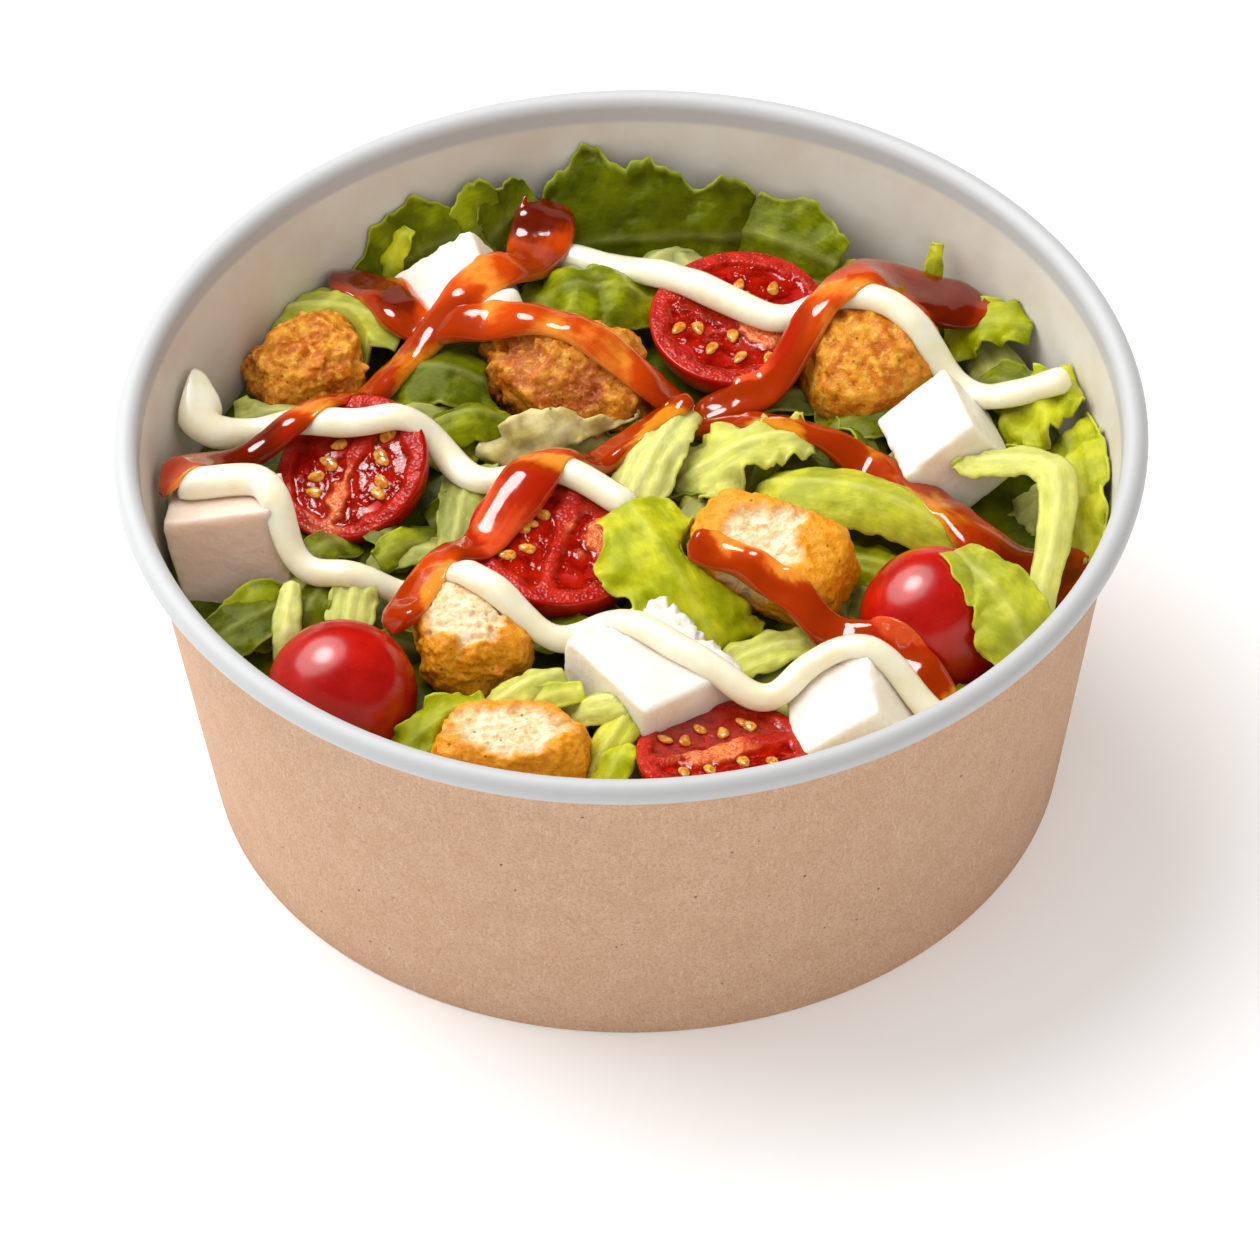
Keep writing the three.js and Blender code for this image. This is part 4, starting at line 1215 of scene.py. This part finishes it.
def scrap_rows():
    """Short leaves that lie every way between the toppings, by a seeded draw."""
    chance = Random(7)
    rows = []
    for number in range(SCRAPS):
        angle = number * GOLDEN_ANGLE + chance.uniform(-0.2, 0.2)
        reach = SCRAP_REACH * sqrt((number + 0.5) / SCRAPS)
        start = Vector((reach * cos(angle), reach * sin(angle), 40.5))
        turn = chance.uniform(0, 2 * pi)
        run = chance.uniform(8, 15)
        tip = start + Vector((run * cos(turn), run * sin(turn), chance.uniform(0, 2.5)))
        rows.append(dict(root=start, tip=tip, width=chance.uniform(6, 11), arch=chance.uniform(0.5, 2.5),
                         lean=chance.uniform(-35, 35), frill=chance.uniform(0.4, 1.4),
                         green=chance.uniform(0.1, 0.65), pale=chance.choice((0.1, 0.15, 0.3, 0.5)),
                         ragged=chance.uniform(0.05, 0.14), curl=chance.uniform(10, 50),
                         ribs=(chance.uniform(0, 0.3), 4)))
    return rows


leaves = leaf_piece("lettuce_leaves", LEAVES, LEAF_GRAIN)
leaf_piece("lettuce_top_leaves", TOP_LEAVES, LEAF_GRAIN)
scraps = leaf_piece("lettuce_scraps", scrap_rows(), SCRAP_GRAIN)

# %% [markdown]
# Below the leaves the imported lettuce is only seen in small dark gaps, so it stays one bumpy
# body: a drum turned on a lathe, whose top is creased by noise.

# %% Lettuce core
CORE_STEPS = 120
CORE_RINGS = 60
CORE_BUMPS = 1.4
CORE_GREEN = 0.22
CORE_SHOULDER = 3
CORE_BOTTOM = 6.3


def lettuce_core():
    shape = bmesh.new()
    new_marks(shape, *LEAF_MARKS)
    top = CORE_TOP - CORE_SHOULDER
    points = [(0, CORE_BOTTOM), (inner_wall(CORE_BOTTOM) - WALL_CLEARANCE, CORE_BOTTOM)]
    reach = inner_wall(top) - WALL_CLEARANCE
    points += [(reach * (1 - step / CORE_RINGS), CORE_TOP) for step in range(CORE_RINGS + 1)]
    spun(shape, points, CORE_STEPS)
    green = shape.verts.layers.float["green"]
    for vert in shape.verts:
        point = vert.co / MM
        if point.z > CORE_BOTTOM + 1:
            out = hypot(point.x, point.y) / inner_wall(CORE_TOP)
            point.z = CORE_TOP - CORE_SHOULDER * out ** 4 + CORE_BUMPS * fractal(point, 9, 4)
        vert.co = point * MM
        vert[green] = CORE_GREEN
    return finish_piece("lettuce_core", shape, [lettuce], "lettuce", "lettuce_heap")


core = lettuce_core()

# %% [markdown]
# ## Mayonnaise and red sauce
#
# Both sauces were squeezed from a bottle in long strands. Mayonnaise is stiff: its strand stays
# round, bridges small gaps and softly follows what it lies on. The red sauce is thinner: it
# clings to what is under it, thins over the humps and gathers in pools. So each strand is laid
# by dropping rays on the salad along its route, smoothing the heights, and pulling a ring of
# points along them. The share called firm says how far the ring keeps its own roundness; for
# the rest it follows the ground. The share called thin is what a strand loses over a hump. A
# fourth number in a route is a least height, where a strand hangs between the wall and the food.

# %% Laying a strand
STATION = 0.8
RING_POINTS = 24
ACROSS = 13
DROP_FROM = 90
WALL_ROOM = 1.2
MOST_CLIMB = 2
HUMP_REACH = 8
HUMP_HEIGHT = 1.4
DEEPEST = 3.5


def landscape(pieces):
    """One search tree over the pieces, and the name of the piece that owns each face."""
    points, faces, owners = [], [], []
    for piece in pieces:
        first = len(points)
        points += [vert.co.copy() for vert in piece.data.vertices]
        faces += [[first + index for index in face.vertices] for face in piece.data.polygons]
        owners += [piece.name] * len(piece.data.polygons)
    return BVHTree.FromPolygons(points, faces), owners


def within_wall(x, y):
    """The plan point, drawn in to where a strand still lies inside the bowl."""
    room = inner_wall(50) - WALL_ROOM
    reach = hypot(x, y)
    return (x, y) if reach <= room else (x * room / reach, y * room / reach)


def drop(ground, x, y):
    """Height of the first thing under a point of the plan, and its name."""
    tree, owners = ground
    hit, _, index, _ = tree.ray_cast(Vector((*within_wall(x, y), DROP_FROM)) * MM, Vector((0, 0, -1)))
    return (hit.z / MM, owners[index]) if hit else (CORE_TOP, "")


def evenly(route):
    """The route's points of x, y, width and least height, on a smooth curve, spaced evenly."""
    points = with_ends([Vector((*point, 0)[:4]) for point in route])
    fine = []
    for ends in zip(points, points[1:], points[2:], points[3:]):
        steps = max(2, ceil((ends[2] - ends[1]).length / (STATION / 8)))
        fine += [on_curve(*ends, step / steps) for step in range(steps)]
    stations, walked = [fine[0]], 0
    for before, after in zip(fine, fine[1:]):
        walked += (after.xy - before.xy).length
        if walked >= STATION:
            stations.append(after)
            walked = 0
    return stations


def smoothed(values, reach):
    """A list of numbers, each the mean of its neighbours up to reach away."""
    near = [values[max(0, at - reach):at + reach + 1] for at in range(len(values))]
    return [sum(part) / len(part) for part in near]


def settled(heights, kind):
    """Heights along a strand that bridges the dips and is lifted a little before each hump."""
    reach = kind["bridge"]
    humps = [max(heights[max(0, at - reach):at + reach + 1]) for at in range(len(heights))]
    return smoothed(smoothed(humps, kind["calm"]), 3)


def between(values, share):
    """The value at a share of the way through a list."""
    spot = min(max(share, 0), 1) * (len(values) - 1)
    low = min(int(spot), len(values) - 2)
    return values[low] + (values[low + 1] - values[low]) * (spot - low)


def thinned(heights, kind):
    """How thick a strand is along its way: all of it in the dips, less of it over the humps."""
    means = smoothed(heights, HUMP_REACH)
    shares = [1 - kind["thin"] * blend_step(height - mean, 0, HUMP_HEIGHT)
              for height, mean in zip(heights, means)]
    return smoothed(shares, 2)


def softened(rows):
    """Values found across and along a strand, each the mean of its neighbours along the way."""
    return list(zip(*[smoothed([row[part] for row in rows], 2) for part in range(ACROSS)]))


def profile(ground, route, kind):
    """What a strand meets along its route: the line, its sides and the ground under it."""
    stations = evenly(route)
    last = len(stations) - 1
    ways = [(stations[min(at + 2, last)].xy - stations[max(at - 2, 0)].xy).normalized()
            for at in range(last + 1)]
    asides = [Vector((-way.y, way.x)) for way in ways]
    found = [[drop(ground, *(station.xy + aside * station.z * (part / (ACROSS - 1) - 0.5)))
              for part in range(ACROSS)] for station, aside in zip(stations, asides)]
    raw = [[height for height, _ in row] for row in found]
    peaks = [max(*row[3:-3], station.w) for station, row in zip(stations, raw)]
    crest = settled(peaks, kind)
    lows = [[max(height, crest[at] - kind["fall"]) for height in raw[at]] for at in range(last + 1)]
    columns = [settled([row[part] for row in lows], kind) for part in range(ACROSS)]
    rows = [smoothed(list(row), 3) for row in zip(*columns)]
    under = softened([[kind["under"](name) for _, name in row] for row in found])
    return stations, asides, raw, softened(raw), crest, thinned(peaks, kind), rows, under


def lay_strand(shape, ground, route, kind, marks=()):
    """Adds one strand: a grid rolled into a tube, whose ends close to points."""
    stations, asides, raw, bed, crest, shares, rows, under = profile(ground, route, kind)
    last = len(stations) - 1
    made = bmesh.ops.create_grid(shape, x_segments=last, y_segments=RING_POINTS, size=1)
    for vert in made["verts"]:
        at = round((vert.co.x + 1) / 2 * last)
        angle = (vert.co.y + 1) * pi
        width = stations[at].z
        from_end = min(at, last - at) * STATION / (width / 2)
        taper = sqrt(max(0, 1 - max(0, 1 - from_end) ** 2))
        wave = kind["wave"] * fractal(Vector((stations[at].x, stations[at].y, 3)), 9, 2)
        half = width / 2 * taper * (1 + wave)
        thick = kind["thick"](width) * shares[at] * taper * (1 + wave)
        aside = cos(angle)
        across = 0.5 + aside / 2 * taper
        low = between(rows[at], across)
        bare = min(between(raw[at], across), crest[at] + MOST_CLIMB)
        firm = kind["firm"]
        base = firm * crest[at] + (1 - firm) * low - kind["sink"]
        rise = max(0, sin(angle)) ** kind["flat"]
        top = base + firm * thick * (1 + sin(angle)) / 2 + (1 - firm) * (thick + kind["sink"]) * rise
        if sin(angle) > 0:
            top = max(top, bare + kind["film"] * min(1, 3 * sin(angle)) * taper)
        spot = stations[at].xy + asides[at] * half * aside
        vert.co = Vector((*within_wall(*spot), top)) * MM
        # The pool mark deepens the colour at listed spots, partly as painted shade.
        deep = min(max(0, top - between(bed[at], across)), DEEPEST) + kind["pool"](spot)
        values = (deep, between(under[at], across), at * STATION * MM, half * aside * MM)
        for mark, value in zip(marks, values):
            vert[mark] = value


def strand_piece(name, ground, routes, kind, finish, marks=()):
    """All the strands of one sauce as one piece, with the tubes' seams and ends closed."""
    shape = bmesh.new()
    layers = new_marks(shape, *marks)
    for route in routes:
        lay_strand(shape, ground, route, kind, layers)
    bmesh.ops.remove_doubles(shape, verts=shape.verts, dist=2e-6)
    bmesh.ops.recalc_face_normals(shape, faces=shape.faces)
    return finish_piece(name, shape, [finish], finish.material.name, "lettuce_heap")


print("strands can be laid")

# %% Mayonnaise
def mayonnaise_finish():
    mayo = Finish("mayonnaise", Roughness=0.22, Specular_IOR_Level=0.5, Coat_Weight=0.4, Coat_Roughness=0.12)
    mayo.let_light_in(0.6, 4, 3, 1.6)
    cloud = mayo.grain(5, 3)
    mayo.colour(mayo.blend(mayo.span(cloud, 0.3, 0.7), tint(240, 228, 194), tint(248, 241, 218)))
    mayo.relief(mayo.grain(2.4, 2), 0.15)
    return mayo


mayonnaise = mayonnaise_finish()
MAYO_ROUTES = [
    [(-19.5, 57, 4.6), (-13, 57.5, 4.5), (-5, 55, 4.6), (11, 44, 4.8), (22, 37, 4.5), (30, 37, 4.5),
     (38, 34, 4.5), (48, 25, 4.5), (56, 21, 4.5), (65, 21, 4.6)],
    [(-64.5, 28, 4.5, 50), (-63, 22, 7.5, 47), (-60.5, 18.5, 6, 44.5), (-55, 19.2, 4.5, 44),
     (-50, 19, 4.5, 44.5), (-44, 16.5, 4.5, 46), (-38, 15, 4.5), (-29, 14, 4.5), (-21, 6, 4.5),
     (-10, 4, 4.5), (1, -4, 4.6)],
    [(-66, 2.5, 5.2), (-54, 0, 5.2), (-49, -9, 4.5), (-42, -12, 4.5), (-30, -14, 4.5),
     (-22, -21, 4.5), (-13, -27, 4.5), (-4, -27, 4.5), (8, -37, 4.5), (18, -42, 4.5), (25, -39, 4.5),
     (31, -38.5, 4.5), (36.5, -40.5, 4.5), (41, -44, 4.5), (45.5, -47.5, 4.6)],
    [(-21.5, 41, 8), (-19, 38.9, 10), (-15, 36.6, 8)],
]
MAYO_KIND = dict(thick=lambda width: 0.85 * min(width, 5.4), firm=0.85, sink=0.7, flat=0.8, film=0.2, calm=4,
                 bridge=1, fall=3, wave=0.06, pool=lambda spot: 0, thin=0.15, under=lambda name: 0)


salad = landscape([core, scraps, leaves, *halves, *wholes, *chicken, *cheese])
mayo = strand_piece("mayonnaise_strands", salad, MAYO_ROUTES, MAYO_KIND, mayonnaise)

# %% [markdown]
# The red sauce is clear like jelly: orange where it is a thin film over white food, deep red
# where it is thick, and brown where green shows through. Each vertex therefore carries how deep
# the sauce is there and how pale the food under it is (tomato counts as less than nothing), and
# the finish turns both into a colour.

# %% Red sauce
def red_sauce_finish():
    sauce = Finish("red_sauce", Roughness=0.12, Specular_IOR_Level=0.3, Coat_Weight=0.7, Coat_Roughness=0.03)
    sauce.let_light_in(0.2, 3, 1.4, 0.3)
    deep, under = sauce.own("deep"), sauce.own("under")
    along = sauce.times(sauce.own("along"), 0.12)
    lengthwise = sauce.add("ShaderNodeCombineXYZ", X=along, Y=sauce.own("across")).outputs["Vector"]
    cloud, streak = sauce.grain(3, 3), sauce.grain(1.1, 3, lengthwise)
    depth = sauce.sum(sauce.sum(deep, sauce.span(cloud, 0.3, 0.7, -0.6, 0.6)),
                      sauce.span(streak, 0.3, 0.7, -0.35, 0.35))
    over_pale = sauce.blend(sauce.span(depth, 0.3, 3.4), tint(242, 146, 52), tint(204, 70, 7))
    over_green = sauce.blend(sauce.span(depth, 0.3, 3), tint(216, 134, 26), tint(164, 48, 3))
    over_tomato = sauce.blend(sauce.span(depth, 0.3, 3.4), tint(222, 82, 36), tint(174, 34, 6))
    colour = sauce.blend(sauce.span(under, 0, 1), over_green, over_pale)
    colour = sauce.blend(sauce.span(under, 0, -0.5), colour, over_tomato)
    sauce.colour(sauce.blend(sauce.span(depth, 3.6, 7), colour, tint(104, 24, 3)))
    sauce.relief(sauce.grain(2.6, 2), 0.1)
    return sauce


red_sauce = red_sauce_finish()
SAUCE_ROUTES = [
    [(-42.5, 54, 6), (-40, 51, 9.5), (-35.5, 47, 8), (-31, 40, 6), (-22, 36, 6), (-10, 33, 6),
     (2, 25, 6), (10, 23, 6)],
    [(-10.5, 65, 8.5), (-11.5, 61, 9.5), (-13, 56.5, 8.5), (-15.5, 50, 6.5), (-22, 43, 6.5),
     (-31, 35, 5), (-38, 27, 5), (-48, 17, 5, 44.5), (-56.4, 12.5, 5.5, 45), (-62, 9, 7, 47.5),
     (-66, 5, 7, 48.5), (-68, 0.5, 6, 48.5)],
    [(9, 24, 5.5), (20, 26, 5.5), (29, 35, 6), (37, 42, 9), (46, 41.5, 11), (53, 38.5, 7)],
    [(9, 22, 5), (-3, 13, 5.5), (-10.8, 6.2, 6), (-16.5, -1, 8), (-22, -9, 7), (-27.5, -13, 6),
     (-31, -20, 6.5), (-35, -27, 5)],
    [(9, 23, 5.5), (24, 16, 5.5), (31.5, 13, 5.5), (38.5, 8, 6), (45.5, -0.5, 6.5), (51, -8, 8),
     (55, -12, 10.5), (62, -15, 12), (67, -17, 8)],
    [(7.8, -13.3, 4.4), (14.6, -16.2, 4.8), (21, -21.5, 4.8), (26.5, -25.8, 5), (31, -28, 5.5),
     (36, -31, 5.5), (42, -36, 5.5), (46, -41, 5)],
]
# Spots where the sauce is coloured deeper: partly where it gathers thick, partly painted shade where it lies
# in shadow.
POOLS_AND_SHADE = [(-42, 52, 8), (-33.5, 44, 4), (-12, 62, 6), (48, 41, 9), (58, -13, 8), (-56, 13, 6)]
POOL_AND_SHADE_DEPTH = 5


def pool_depth(spot):
    """How much darker the sauce is coloured at the listed spots: where it gathers, and painted shade where it
    lies in shadow.
    """
    shares = [exp(-((spot.x - x) ** 2 + (spot.y - y) ** 2) / reach ** 2) for x, y, reach in POOLS_AND_SHADE]
    return POOL_AND_SHADE_DEPTH * max(shares)


PALENESS = {"mayonnaise": 1, "cheese": 0.9, "chicken": 0.65, "tomato": -0.5, "lettuce": 0}
SAUCE_KIND = dict(thick=lambda width: min(2.5, 0.45 * width), firm=0.35, sink=0.4, flat=0.7, film=0.35,
                  calm=4, bridge=3, fall=3.5, wave=0.2, pool=pool_depth, thin=0.65,
                  under=lambda name: PALENESS.get(name.split("_")[0], 0))


# The third cheese cube lies on the sauce, so it is left out of the ground under it.
cheese_below = cheese[:2] + cheese[3:]
dressed_salad = landscape([core, scraps, leaves, *halves, *wholes, *chicken, *cheese_below, mayo])
sauce = strand_piece("red_sauce_strands", dressed_salad, SAUCE_ROUTES, SAUCE_KIND, red_sauce,
                     ("deep", "under", "along", "across"))

# %% [markdown]
# ## Which light falls on what
#
# The small bright lamp shines on the wet pieces alone. The red sauce and the cut tomatoes are lit
# by the copy of the soft box that has no reflection, and everything else by the soft box itself.

# %% Glints
def link_light(light, pieces, state):
    """The light falls on the pieces alone, or on all but them."""
    group = bpy.data.collections.new(light.name + "_pieces")
    for piece in pieces:
        group.objects.link(piece)
    for entry in group.collection_objects:
        entry.light_linking.link_state = state
    light.light_linking.receiver_collection = group


link_light(glint, (mayo, sauce, *halves, *wholes), "INCLUDE")
link_light(matt_key, (sauce, *halves), "INCLUDE")
link_light(key, (sauce, *halves), "EXCLUDE")
print("lights that fall on some pieces only:", glint.name, matt_key.name, key.name)
